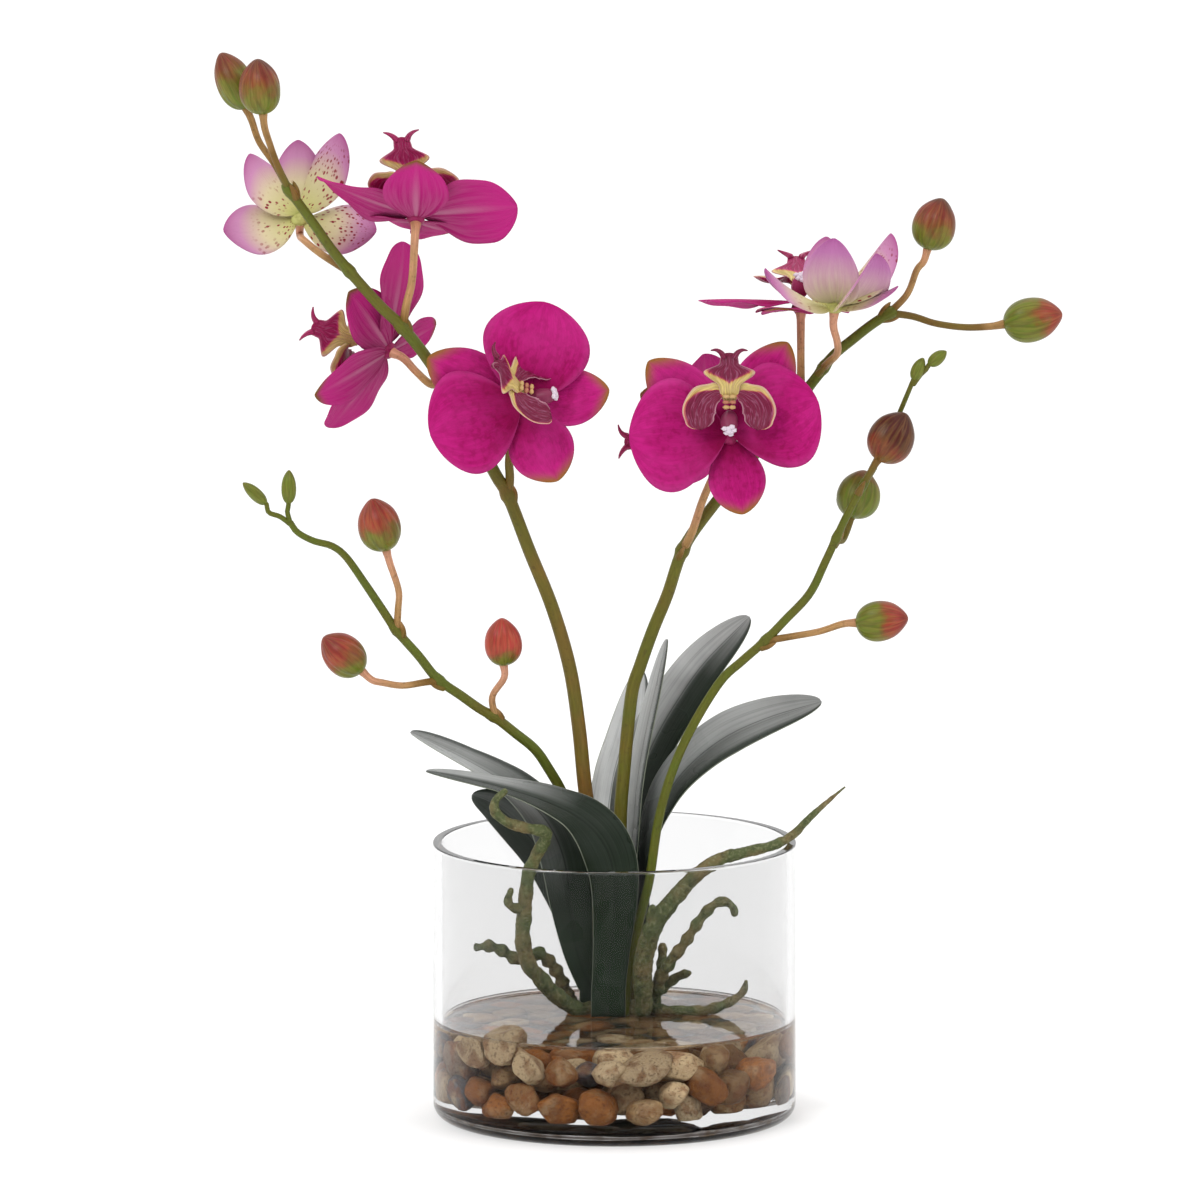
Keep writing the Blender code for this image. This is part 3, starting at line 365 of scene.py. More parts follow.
def pebble_into(bm, place, size, draw):
    """One stone: a lump with worn flats between rounded edges, lying much as it fell."""
    tone_mark = point_mark(bm, "tone")
    shade_mark = point_mark(bm, "shade")
    # Stones by the glass or on top show most, so those in front of the middle have finer faces
    shows = math.hypot(place.x, place.y) > 40 or place.z > 24
    shape = bmesh.ops.create_icosphere(bm, subdivisions=4 if shows and place.y < -8 else 3, radius=1.0)
    flats = [Vector((draw.gauss(0, 1), draw.gauss(0, 1), draw.gauss(0, 1))).normalized()
             for flat in range(PEBBLE_FACETS)]
    depths = [draw.uniform(*PEBBLE_DEPTHS) for flat in flats]
    shift = Vector((draw.uniform(0, 90), draw.uniform(0, 90), draw.uniform(0, 90)))
    stretch = Vector([draw.uniform(low, high) for low, high in PEBBLE_STRETCH])
    spin = Matrix.Rotation(draw.uniform(0, math.tau), 3, "Z") @ Matrix.Rotation(draw.gauss(0, 0.6), 3, "X")
    spin = spin @ Matrix.Rotation(draw.gauss(0, 0.5), 3, "Y")
    tone, shade = draw.random(), draw.random()
    crisp = PEBBLE_CRISP * draw.uniform(0.5, 1.3)
    for vert in shape["verts"]:
        way = vert.co.normalized()
        press = sum((max(way.dot(flat), 0.0) / depth) ** crisp for flat, depth in zip(flats, depths))
        point = way * (press + 0.87 ** crisp) ** (-1.0 / crisp)
        point *= 1.0 + 0.13 * noise.noise(point * 1.5 + shift) + 0.05 * noise.noise(point * 4.2 + shift)
        point = spin @ Vector((point.x * stretch.x, point.y * stretch.y, point.z * stretch.z))
        vert.co = place + point * size
        keep_inside(vert.co, PEBBLE_REACH)
        vert.co.z = max(vert.co.z, VASE_FLOOR + 0.2)
        vert[tone_mark] = tone
        vert[shade_mark] = shade


river_stone, tree, shader = new_finish("river_stone", {
    "Base Color": paint(140, 100, 64), "Roughness": 0.5, "Specular IOR Level": 0.15})
body = colour_ramp(tree, mark_of(tree, "tone"), PEBBLE_TONES)
rusty = lay_over(tree, patchy(tree, 210.0, 0.46, 0.60, 5.0), 0.65, body, (118, 68, 34))
weathered = lay_over(tree, patchy(tree, 130.0, 0.52, 0.70, 4.0), 0.55, rusty, (184, 162, 126))
flecked = lay_over(tree, patchy(tree, 1100.0, 0.54, 0.66, 4.0), 0.6, weathered, (70, 42, 24))
dark = between(tree, mark_of(tree, "shade"), 0.0, 1.0, 0.5, 0.0)
tree.links.new(mix_colour(tree, dark, flecked, (54, 34, 22)), shader.inputs["Base Color"])
roughen(tree, shader, patchy(tree, 620.0, 0.2, 0.8, 6.0), 0.8, 0.6)

draw = random.Random(23)
bm = bmesh.new()
for place, size in poured(draw):
    pebble_into(bm, place, size, draw)
piece = make_piece("river_pebbles", bm, [river_stone])
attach(piece, "root")
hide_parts("pebbles")


# Water
# Clear resin poured over the pebbles, which holds them and the foot of the plant.
# It wets the glass, so its top curls up a little at the wall.
WATER_CREEP = 1.1
WATER_CREEP_WIDTH = 0.9
WATER_INTO_GLASS = 0.15
WATER_TINT = (0.965, 0.950, 0.925, 1.0)
WATER_LETS_BY = (0.93, 0.91, 0.88, 1.0)

still_water, tree, shader = new_finish("still_water", {
    "Base Color": WATER_TINT, "Roughness": 0.0, "IOR": 1.5, "Transmission Weight": 1.0,
    "Specular Tint": FAINT_GLOSS, "Coat Weight": 0.4, "Coat Roughness": 0.0})
roughen(tree, shader, patchy(tree, 42.0, 0.2, 0.8, 2.0), 0.7, 0.35)
let_light_through(tree, shader, WATER_LETS_BY)

edge = BORE_RADIUS + WATER_INTO_GLASS
profile = [(0.0, WATER_LEVEL)]
profile += [(radius, WATER_LEVEL) for radius in range(8, 56, 6)]
profile += [(edge - run, WATER_LEVEL + WATER_CREEP * math.exp(-run / WATER_CREEP_WIDTH))
            for run in (4, 3, 2, 1.2, 0.6, 0.2, 0)]
profile += [(edge, height) for height in (UNDER_WATER, 30, 24, 18, 12)]
profile += arc(edge - VASE_EDGE, VASE_FLOOR + VASE_EDGE - WATER_INTO_GLASS, VASE_EDGE, 0, -90, 8)
profile += [(0.0, VASE_FLOOR - WATER_INTO_GLASS)]
bm = turned(profile, 160)
mark_points(bm, "bonded", lambda radius, height: height < BONDED_BELOW)
piece = make_piece("clear_water", bm, [still_water])
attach(piece, "root")
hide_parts("water")


# Crown
# The plant's short moulded stem: leaf bases wrapped round each other, set in the resin.
# Leaves, flower stems and roots are plugged into it.
CROWN = Vector((-1.0, 17.0, 0.0))
CROWN_FOOT = 29.8
CROWN_SHEATHS = 7
SHEATH_SLANT = 0.03
SHEATH_INSIDE = 0.93
SHEATH_STEP = 0.11
CROWN_OUTLINE = ((0.0, CROWN_FOOT), (6.0, CROWN_FOOT), (9.0, CROWN_FOOT + 0.6), (9.6, 32.0), (9.7, 34.5),
                 (9.5, 37.0), (8.9, 39.0), (8.2, 40.6), (7.2, 41.8), (5.6, 42.4), (3.0, 42.0), (0.0, 41.6))

sheath_skin, tree, shader = new_finish("sheath_skin", {
    "Base Color": paint(30, 44, 24), "Roughness": 0.5, "Specular IOR Level": 0.2})
green = mix_colour(tree, patchy(tree, 140.0, 0.4, 0.65, 3.0), (20, 34, 18), (44, 54, 28))
tree.links.new(mix_colour(tree, patchy(tree, 420.0, 0.55, 0.7, 2.0), green, (58, 48, 28)),
               shader.inputs["Base Color"])
roughen(tree, shader, patchy(tree, 700.0, 0.3, 0.7, 3.0), 0.4, 0.3)

bm = turned(CROWN_OUTLINE[::-1], 56)
for vert in bm.verts:
    turn = math.atan2(vert.co.y, vert.co.x)
    wrap = (turn * CROWN_SHEATHS / math.tau + SHEATH_SLANT * vert.co.z) % 1.0
    vert.co.x *= SHEATH_INSIDE + SHEATH_STEP * wrap
    vert.co.y *= SHEATH_INSIDE + SHEATH_STEP * wrap
    vert.co += CROWN
piece = make_piece("crown_sheaths", bm, [sheath_skin])
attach(piece, "root")
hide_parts("crown")


# Air roots
# Rubbery moulded roots, grey-green and nubbly, some swollen into strings of beads.
# They are plugged into the crown's side, and one hangs out over the rim.
ROOT_PLUGGED = 9.0
ROOT_LEAVES = 14.0

# A stalk's rounded end: the last ring's way out and width, and the tip's way out, as parts of its
# radius; and how its length in millimetres counts along the fine lines of its skin
STALK_END = 0.45
STALK_END_NARROW = 0.7
STALK_TIP = 0.62
STALK_MARKS = 0.02


def on_crown(turn, height):
    """The two points where a root leaves the crown's side squarely, at an angle in degrees."""
    way = Vector((math.cos(math.radians(turn)), math.sin(math.radians(turn)), 0))
    lift = Vector((0, 0, height))
    return CROWN + way * ROOT_PLUGGED + lift, CROWN + way * ROOT_LEAVES + lift


# Each strand: route, radii along it, how deep its beads are and how long each bead is
ROOTS = {
    "root_front": (
        ((*on_crown(212, 36.2), (-21, 4, 42.5), (-26, 0, 49), (-30, -3, 54.5), (-32, -6, 64),
          (-31.5, -7, 72), (-30.5, -8, 84), (-28.5, -9, 91.5), (-24.5, -11, 99.5), (-24, -13, 103),
          (-29.5, -15, 104.5), (-37, -17, 107), (-41.5, -18, 111), (-41.5, -18, 115), (-38, -18, 118.5)),
         (2.8, 2.9, 2.8, 2.5, 2.2, 1.9, 1.6), 0.06, 9.0),
        (((-31.4, -7.3, 74.5), (-35.5, -9.5, 76), (-37, -10.5, 78.5), (-35.8, -10.5, 82.5)),
         (1.7, 1.6, 1.2), 0.14, 5.0),
    ),
    "roots_left": (
        ((*on_crown(178, 36.6), (-17.5, 15, 43), (-21.5, 12, 51), (-27, 8, 56.5), (-33, 5, 54.5),
          (-38, 3, 57.5), (-43, 1.5, 60), (-48.5, 0, 60)), (2.1, 2.2, 2.0, 1.9), 0.24, 5.2),
        (((-14, 16.6, 38.4), (-18, 18, 41.5), (-22.5, 18, 43.5)), (1.2, 0.8), 0.0, 6.0),
    ),
    "root_over_rim": (
        ((*on_crown(321, 36.6), (10, 5.5, 45), (10, 4, 52), (11, 2.5, 59), (13, 0, 65.5),
          (16, -2, 71.5), (21, -3.5, 78), (27.5, -4.5, 85.5), (36, -5, 91.5), (46, -5, 94.5),
          (55, -4, 96.6), (62, -3, 100), (68, -2, 106), (75, 0, 112), (80.5, 1, 116.5)),
         (3.0, 3.5, 3.4, 3.0, 2.5, 2.1, 1.7, 1.2, 0.5), 0.04, 8.0),
        (((12.4, 1, 64), (12.6, -1.5, 70), (13.4, -3.5, 75)), (2.0, 1.6), 0.12, 4.5),
    ),
    "roots_right": (
        ((*on_crown(354, 36.4), (14.5, 13, 40), (15.5, 9, 45.5), (17.5, 4.5, 51), (20.5, 1.5, 56),
          (24, -1, 61), (27, -3, 66), (30.5, -4.5, 71.5), (34.5, -6, 76), (38, -7, 77.5),
          (41, -8, 76), (42, -8, 73)), (2.1, 2.2, 2.0, 1.8, 1.6), 0.17, 6.5),
        (((11.6, 15.4, 36.6), (15.2, 15.6, 41), (19, 14, 44.5), (22.5, 12, 47.5), (26.5, 10, 49)),
         (1.9, 1.8, 1.4), 0.10, 5.5),
        (((12.2, 15.8, 36.6), (15.2, 18, 43), (16.8, 19, 50), (17, 19, 57.5)), (1.9, 2.0, 1.6), 0.14, 6.0),
        (((11.8, 15, 36.5), (15.5, 12.5, 35.6), (20, 11, 35.5), (26, 9.5, 35.6), (32, 9, 36),
          (37, 9.5, 37.2), (42, 10.5, 39.5), (45.5, 11, 42.5), (46.5, 11, 46)), (2.0, 1.9, 1.8, 1.1),
         0.13, 6.5),
    ),
}


def blend(values, t):
    """Read a list of numbers or vectors, evenly spread over 0 to 1, at t."""
    place = min(max(t, 0.0), 1.0) * (len(values) - 1)
    index = min(int(place), len(values) - 2)
    part = place - index
    return values[index] * (1.0 - part) + values[index + 1] * part


def lengths_along(points):
    """How far along the line each point is, from 0 to 1, and the line's length."""
    runs = [0.0]
    for start, end in zip(points, points[1:]):
        runs.append(runs[-1] + (end - start).length)
    return [run / runs[-1] for run in runs], runs[-1]


def point_at(points, shares, t):
    """The point that lies at a share of the whole way along a line."""
    for start, end, low, high in zip(points, points[1:], shares, shares[1:]):
        if t <= high or end is points[-1]:
            return start.lerp(end, (t - low) / (high - low))


def smooth_route(points, spacing):
    """Points evenly spaced, about spacing apart, on a smooth curve through the route's own points."""
    route = [Vector(point) for point in points]
    ends = [route[0] * 2 - route[1]] + route + [route[-1] * 2 - route[-2]]
    dense = [route[0]]
    for before, start, end, after in zip(ends, ends[1:], ends[2:], ends[3:]):
        for step in range(1, 9):
            t = step / 8
            dense.append(0.5 * (2 * start + (end - before) * t
                                + (2 * before - 5 * start + 4 * end - after) * t ** 2
                                + (3 * start - before - 3 * end + after) * t ** 3))
    shares, length = lengths_along(dense)
    count = max(2, round(length / spacing))
    return [point_at(dense, shares, index / count) for index in range(count + 1)]


def wrap_rings(bm, rings, sides, finish=0):
    """Close a skin over rings of points, each with its mark along; a ring of one point is a tip."""
    uv = bm.loops.layers.uv.verify()
    for (low, low_mark), (high, high_mark) in zip(rings, rings[1:]):
        for side in range(sides):
            after = (side + 1) % sides
            corners = [(low[side % len(low)], side, low_mark), (low[after % len(low)], side + 1, low_mark),
                       (high[after % len(high)], side + 1, high_mark),
                       (high[side % len(high)], side, high_mark)]
            if len(low) == 1:
                corners = [corners[0], corners[2], corners[3]]
            elif len(high) == 1:
                corners = corners[:3]
            face = bm.faces.new([vert for vert, turn, mark in corners])
            face.material_index = finish
            for loop, (vert, turn, mark) in zip(face.loops, corners):
                loop[uv].uv = (turn / sides, mark)


def tube_into(bm, points, radius_at, sides, tones=(0.0, 0.0), lumps=0.0):
    """Round stalk with rounded ends along close-set points; radius_at reads a share and a length."""
    tone = point_mark(bm, "tone")
    shares, length = lengths_along(points)
    last = len(points) - 1
    normal = Vector((0.31, 0.17, 0.93))
    rings = []
    for index, (point, share) in enumerate(zip(points, shares)):
        along = (points[min(index + 1, last)] - points[max(index - 1, 0)]).normalized()
        normal = (normal - along * along.dot(normal)).normalized()
        other = along.cross(normal)
        radius = radius_at(share, share * length)
        mark = STALK_MARKS * (share * length)
        steps = [(0.0, 1.0)]
        if index == 0:
            steps = [(-STALK_END, STALK_END_NARROW), (0.0, 1.0)]
        elif index == last:
            steps = [(0.0, 1.0), (STALK_END, STALK_END_NARROW)]
        for run, narrow in steps:
            ring = []
            for side in range(sides):
                turn = math.tau * side / sides
                out = normal * math.cos(turn) + other * math.sin(turn)
                reach = radius * narrow
                if lumps:
                    spot = point + out * radius
                    reach *= 1.0 + lumps * (noise.noise(spot * 0.55) + 0.6 * noise.noise(spot * 1.5))
                vert = bm.verts.new(point + along * run * radius + out * reach)
                vert[tone] = tones[0] + (tones[1] - tones[0]) * share
                ring.append(vert)
            rings.append((ring, mark))
        if index in (0, last):
            tip = bm.verts.new(point + along * (STALK_TIP if index else -STALK_TIP) * radius)
            tip[tone] = tones[1 if index else 0]
            rings.insert(len(rings) if index else 0, ([tip], mark))
    wrap_rings(bm, rings, sides)


root_skin, tree, shader = new_finish("root_skin", {
    "Base Color": paint(80, 78, 50), "Roughness": 0.6, "Specular IOR Level": 0.25})
mossy = mix_colour(tree, patchy(tree, 110.0, 0.40, 0.62, 3.0), (80, 88, 52), (112, 98, 64))
dusty = lay_over(tree, patchy(tree, 900.0, 0.50, 0.72, 3.0), 0.5, mossy, (144, 144, 106))
pitted = lay_over(tree, patchy(tree, 520.0, 0.54, 0.68, 3.0), 0.55, dusty, (44, 46, 28))
tree.links.new(pitted, shader.inputs["Base Color"])
roughen(tree, shader, patchy(tree, 950.0, 0.25, 0.75, 4.0), 0.8, 0.5)

for name, strands in ROOTS.items():
    bm = bmesh.new()
    for route, radii, beads, bead_length in strands:
        def root_radius(share, run):
            swell = 1.0 + beads * math.sin(math.tau * run / bead_length + len(route))
            return blend(radii, share) * swell * (1.0 - 0.35 * max(0.0, share - 0.93) / 0.07)

        tube_into(bm, smooth_route(route, 0.9), root_radius, 16, lumps=0.16)
    piece = make_piece(name + "_strands", bm, [root_skin])
    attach(piece, "root")
    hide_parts(name)


# Leaves
# Thick strap leaves moulded in dark green plastic, with a folded middle and fine lengthwise grain.
# Their wired feet are plugged into the crown, the lower leaves outside the upper ones.
FOOT = 39.3
LEAF_THICK = 1.0
LEAF_ROWS = 84
LEAF_COLUMNS = 16
LEAF_SINK = 5.5

# A blade is at its widest from LEAF_FULL on and narrows from its shoulder to a blunt tip, where its
# rows lie closer together
LEAF_FULL = 0.5
LEAF_SHOULDER = 0.55
LEAF_TIP_CURVE = (3.0, 0.52)
LEAF_ROWS_CROWD = 1.25

# Each leaf has painted shade along one rim, most of them along the second one
RIM_SHADE_FIRST = ("leaf_front",)
RIM_SHADE = 0.9
RIM_SHADE_FROM = 0.80
RIM_SHADE_EASE = 0.10
SEAM_WIDTH = 0.16

# How far a leaf's sunk foot leans towards the crown's middle, as a share of the way
LEAF_TUCK = {"leaf_front": 0.0}
PLAIN_TUCK = 0.25

# Each leaf: middle line, widths across (foot, widest), the way its width lies, its keel, how much
# painted silver sheen it has along its first half and along its other half, and where across it the one meets
# the other
LEAVES = {
    "leaf_front": (
        ((-2.2, 6.0, FOOT), (-1.2, 6.8, 57), (0, 4, 75.5), (-1, 1, 89), (-5, -2, 98.5),
         (-12, -4, 106), (-21, -5, 111), (-33, -6, 115.5), (-47, -5, 119), (-66, -4, 123)),
        (12.0, 19.5),
        ((1, 0.05, 0), (1, 0.1, 0), (0.9, 0.3, 0.2), (0.5, 0.8, 0.2), (0.15, 1, 0.1), (0, 1, 0.1)),
        0.16, ((0.01, 0.01, 0.01, 0.03, 0.06), (0.0, 0.0, 0.01, 0.42, 0.50)), 0.62),
    "leaf_left": (
        ((-8.2, 12.6, FOOT), (-12.7, 10.5, 56.5), (-15.5, 9.5, 74.5), (-18, 10, 90),
         (-23.5, 11.5, 102), (-33, 13.5, 112), (-42, 14.5, 118), (-54.5, 14, 125), (-71.5, 12, 134)),
        (9.5, 20.0),
        ((0.92, 0.38, 0), (0.98, 0.15, 0), (0.85, 0.4, 0.2), (0.4, 0.8, 0.3), (0.1, 1, 0.25), (0, 1, 0.25)),
        0.18, ((0.01, 0.01, 0.30, 0.50, 0.40), (0.0, 0.0, 0.05, 0.34, 0.30)), 0.5),
    "leaf_left_back": (
        ((-9.8, 18, FOOT), (-13.5, 19.5, 55.5), (-18, 21.5, 74), (-24.5, 22.5, 88),
         (-33, 22, 98.5), (-42, 20.5, 106.5), (-50, 19, 110.5)),
        (5.5, 15.0), ((0.6, -0.8, 0), (0.75, -0.5, 0.4), (0.6, -0.1, 0.75), (0.45, 0.4, 0.75)), 0.12,
        ((0.01, 0.02, 0.04, 0.06, 0.10), (0.01, 0.03, 0.06, 0.14, 0.16)), 0.5),
    "leaf_upright": (
        ((1, 20.8, FOOT), (4.0, 21.8, 62), (6.2, 22.3, 90), (8, 22.5, 113), (11, 23, 131),
         (14.5, 24, 147), (18.5, 25.5, 165)),
        (6.0, 13.5), ((0.55, -0.85, 0), (0.42, -0.9, 0), (0.4, -0.9, 0), (0.4, -0.9, 0)), 0.15,
        ((0.06, 0.32, 0.50, 0.56, 0.58), (0.06, 0.28, 0.44, 0.46, 0.40)), 0.5),
    "leaf_right_tall": (
        ((4.6, 24.4, FOOT), (4.8, 29.5, 68), (5.5, 34, 94), (9.0, 37, 114), (14.5, 38, 127.5),
         (22, 38.5, 140.5), (32, 39, 154.5), (47.5, 39, 170.5)),
        (7.0, 19.5), ((0.97, -0.2, 0), (0.75, -0.65, -0.1), (0.7, -0.52, -0.38), (0.68, -0.5, -0.45)),
        0.14, ((0.0, 0.03, 0.30, 0.62, 0.42), (0.0, 0.0, 0.0, 0.02, 0.40)), 0.5),
    "leaf_right_low": (
        ((8.2, 18.2, FOOT), (10.4, 18.6, 62), (11.8, 18.6, 84), (13.8, 18.4, 99), (18.5, 16.6, 111),
         (26, 14.5, 121.5), (38, 13, 131.5), (53, 10.5, 139), (72.5, 8, 145.5)),
        (5.6, 20.5),
        ((0.8, -0.6, 0), (0.25, -0.97, 0), (0.3, -0.85, -0.4), (0.25, -0.75, -0.6), (0.2, -0.8, -0.55)),
        0.16, ((0.01, 0.03, 0.28, 0.44, 0.32), (0.01, 0.0, 0.05, 0.26, 0.32)), 0.5),
    "leaf_back": (
        ((-3.4, 24.8, FOOT), (-3.8, 33, 68), (-3.2, 41, 92), (-0.6, 46.5, 112), (3.6, 49.5, 127),
         (7, 51, 140.5), (9, 51.5, 150)),
        (6.0, 17.0), ((0.95, 0.3, 0), (0.9, 0.45, 0), (0.85, 0.5, 0), (0.8, 0.5, 0.1)), 0.14,
        ((0.06, 0.40, 0.95, 1.0, 1.0), (0.06, 0.40, 0.95, 1.0, 1.0)), 0.5),
}


def sheet_into(bm, grid, thick, front=0, back=0, marks=None):
    """Thin two-sided sheet over a grid of points that ends in one point; its rims are worn thin."""
    uv = bm.loops.layers.uv.verify()
    layers = {name: point_mark(bm, name) for name in marks or {}}
    last = len(grid) - 1
    columns = len(grid[0]) - 1
    sides = ([], [])
    place_of = {}
    for row, points in enumerate(grid):
        for lists in sides:
            lists.append([])
        if row == last:
            tip = bm.verts.new(points[0])
            place_of[tip] = (0.5, 1.0)
            sides[0][row].append(tip)
            sides[1][row].append(tip)
            continue
        for column, point in enumerate(points):
            below = grid[max(row - 1, 0)][column]
            above = grid[row + 1][min(column, len(grid[row + 1]) - 1)]
            across = points[min(column + 1, columns)] - points[max(column - 1, 0)]
            normal = across.cross(above - below).normalized()
            place = 2.0 * column / columns - 1.0
            half = 0.5 * thick * (1.0 - 0.72 * abs(place) ** 4) * (1.0 - 0.5 * (row / last) ** 8)
            for side, way in ((0, 1.0), (1, -1.0)):
                vert = bm.verts.new(point + normal * half * way)
                place_of[vert] = (column / columns, row / last)
                sides[side][row].append(vert)
    for vert, (across, along) in place_of.items():
        for name, layer in layers.items():
            value = marks[name]
            vert[layer] = value(across, along) if callable(value) else value

    def close(corners, finish):
        face = bm.faces.new(corners)
        face.material_index = finish
        for loop in face.loops:
            loop[uv].uv = place_of[loop.vert]

    for row in range(last):
        for side, finish in ((0, front), (1, back)):
            low, high = sides[side][row], sides[side][row + 1]
            for column in range(columns):
                if len(high) == 1:
                    corners = [low[column], low[column + 1], high[0]]
                else:
                    corners = [low[column], low[column + 1], high[column + 1], high[column]]
                close(corners if side == 0 else corners[::-1], finish)
        for column in (0, columns):
            top, under = sides[0][row], sides[1][row]
            if row + 1 == last:
                corners = [top[column], under[column], sides[0][last][0]]
            else:
                corners = [top[column], under[column], sides[1][row + 1][column], sides[0][row + 1][column]]
            close(corners if column else corners[::-1], front)
    for column in range(columns):
        top, under = sides[0][0], sides[1][0]
        close([top[column + 1], top[column], under[column], under[column + 1]], front)


def blade_grid(centres, halves, sides, columns, arch):
    """Rows of points across a middle line; arch lifts a point by a share of the half width."""
    grid = []
    last = len(centres) - 1
    for index, (centre, half, side) in enumerate(zip(centres, halves, sides)):
        if index == last:
            grid.append([centre])
            continue
        along = (centres[index + 1] - centres[max(index - 1, 0)]).normalized()
        across = (side - along * along.dot(side)).normalized()
        up = across.cross(along)
        row = []
        for column in range(columns + 1):
            place = 2.0 * column / columns - 1.0
            row.append(centre + across * place * half + up * arch(place, index / last) * half)
        grid.append(row)
    return grid


# Fine lines that run from foot to tip, so many across and so many along, fading in between two levels
lines, given, result = new_group("grown_lines", {"Across": 20.0, "Along": 1.5, "Thin": 0.9, "Fade": 0.6})
across_along = add_node(lines, "SeparateXYZ", {0: add_node(lines, "UVMap").outputs["UV"]})
stretched = add_node(lines, "CombineXYZ", {
    0: calculate(lines, "MULTIPLY", across_along.outputs[0], given.outputs["Across"]),
    1: calculate(lines, "MULTIPLY", across_along.outputs[1], given.outputs["Along"])})
grain = add_node(lines, "TexNoise", {"Vector": stretched.outputs[0], "Scale": 1.0, "Detail": 3.0,
                                     "Distortion": 0.25})
ridge = calculate(lines, "SUBTRACT", 1.0, calculate(lines, "ABSOLUTE", calculate(
    lines, "MULTIPLY", calculate(lines, "SUBTRACT", grain.outputs["Fac"], 0.5), 5.0)))
lined = add_node(lines, "MapRange", {"Value": ridge, "From Min": given.outputs["Fade"],
                                     "From Max": given.outputs["Thin"]})
lines.links.new(lined.outputs["Result"], result.inputs["Mask"])


def lined_by(tree, across, along, fade, thin):
    """How much of a line each place is, 0 to 1."""
    group = add_node(tree, "Group", {}, node_tree=lines)
    for label, value in (("Across", across), ("Along", along), ("Fade", fade), ("Thin", thin)):
        group.inputs[label].default_value = value
    return group.outputs["Mask"]


def sheet_places(tree):
    """How far a point is across its sheet from the middle line, 0 to 1, and along it, 0 to 1."""
    split = add_node(tree, "SeparateXYZ", {0: add_node(tree, "UVMap").outputs["UV"]})
    across = calculate(tree, "ABSOLUTE", calculate(
        tree, "SUBTRACT", calculate(tree, "MULTIPLY", split.outputs[0], 2.0), 1.0))
    return across, split.outputs[1]


leaf_skin, tree, shader = new_finish("leaf_skin", {
    "Base Color": paint(28, 42, 28), "Roughness": 0.34, "Specular IOR Level": 0.13})
across, along = sheet_places(tree)
grain = between(tree, lined_by(tree, 9.0, 0.7, 0.0, 1.0), 0.0, 1.0, 0.72, 1.08)
# Painted sheen: where a leaf would mirror the bright room it is painted pale grey, along its grain
leaf_with_sheen_paint = lay_over(tree, mark_of(tree, "painted_sheen"), grain, (17, 28, 15), (222, 224, 223))
young = mix_colour(tree, between(tree, along, 0.05, 0.48, 0.9, 0.0), leaf_with_sheen_paint, (20, 38, 18))
streaked = lay_over(tree, lined_by(tree, 38.0, 1.2, 0.2, 1.0), 0.10, young, (90, 100, 90))
clouded = lay_over(tree, patchy(tree, 45.0, 0.45, 0.7, 3.0), 0.22, streaked, (24, 30, 24))
# Painted shade: darker down the middle groove
ribbed = mix_colour(tree, between(tree, across, 0.0, 0.05, 0.55, 0.0), clouded, (14, 22, 16))
# Painted highlight: a thin light line along both rims, where the edges catch the light
rims_lit = mix_colour(tree, between(tree, across, 0.965, 1.0, 0.0, 0.6), ribbed, (150, 156, 138))
tree.links.new(rims_lit, shader.inputs["Base Color"])
tree.links.new(between(tree, patchy(tree, 60.0, 0.3, 0.7), 0.0, 1.0, 0.24, 0.38), shader.inputs["Roughness"])
roughen(tree, shader, lined_by(tree, 52.0, 1.0, 0.0, 1.0), 0.30, 0.20)

for name, (route, (foot, wide), ways, keel, painted_sheen, seam) in LEAVES.items():
    start = Vector(route[0])
    dense = smooth_route((start + Vector((0, 0, 4.0)), *route[1:]), 1.0)
    shares = lengths_along(dense)[0]
    side_ways = [Vector(way).normalized() for way in ways]
    axis = CROWN + Vector((0, 0, start.z))
    sunk = start.lerp(axis, LEAF_TUCK.get(name, PLAIN_TUCK)) - Vector((0, 0, LEAF_SINK))
    centres = [sunk, sunk.lerp(start, 0.5), start]
    halves = [0.5 * foot, 0.5 * foot, 0.5 * foot]
    sides = [side_ways[0]] * 3
    for row in range(LEAF_ROWS + 1):
        t = 1.0 - (1.0 - row / LEAF_ROWS) ** LEAF_ROWS_CROWD
        grow = min(t / LEAF_FULL, 1.0)
        half = 0.5 * (foot + (wide - foot) * grow * grow * (3 - 2 * grow))
        if t > LEAF_SHOULDER:
            tip = (t - LEAF_SHOULDER) / (1.0 - LEAF_SHOULDER)
            half *= (1.0 - tip ** LEAF_TIP_CURVE[0]) ** LEAF_TIP_CURVE[1]
        centres.append(point_at(dense, shares, t))
        halves.append(half)
        sides.append(blend(side_ways, t))

    def fold(place, t):
        """Sides that rise from a groove along the middle, with a slight wave from foot to tip."""
        rise = math.sqrt(place * place + 0.012) - 0.09
        groove = 0.035 * math.exp(-(place / 0.07) ** 2)
        return keel * rise - groove + 0.012 * math.sin(9.0 * t + 4.0 * place)

    def sheen_and_rim_shade(across, along):
        """How much painted sheen a place has: the two halves blend at the seam, and one rim has painted
        shade.
        """
        other = min(max((across - seam) / SEAM_WIDTH + 0.5, 0.0), 1.0)
        rim = 1.0 - across if name in RIM_SHADE_FIRST else across
        dark = RIM_SHADE * min(max((rim - RIM_SHADE_FROM) / RIM_SHADE_EASE, 0.0), 1.0)
        return (blend(painted_sheen[0], along) * (1.0 - other) + blend(painted_sheen[1], along) * other) * (1.0 - dark)

    bm = bmesh.new()
    sheet_into(bm, blade_grid(centres, halves, sides, LEAF_COLUMNS, fold), LEAF_THICK, marks={"painted_sheen": sheen_and_rim_shade})
    piece = make_piece(name + "_blade", bm, [leaf_skin])
    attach(piece, "root")
    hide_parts(name)


# Buds
# Closed buds moulded in soft plastic: three folded sepals meet in seams, green at the foot and
# brushed red-brown towards the tip. Each is pushed on its stalk.
BUD_TAPER = 0.13
BUD_PINCH = 0.26
BUD_SHOULDER = 0.35
BUD_FOLD = 0.042
BUD_SEAM = 0.07
BUD_SEAM_WIDTH = 0.06
BUD_TWIST = 0.35

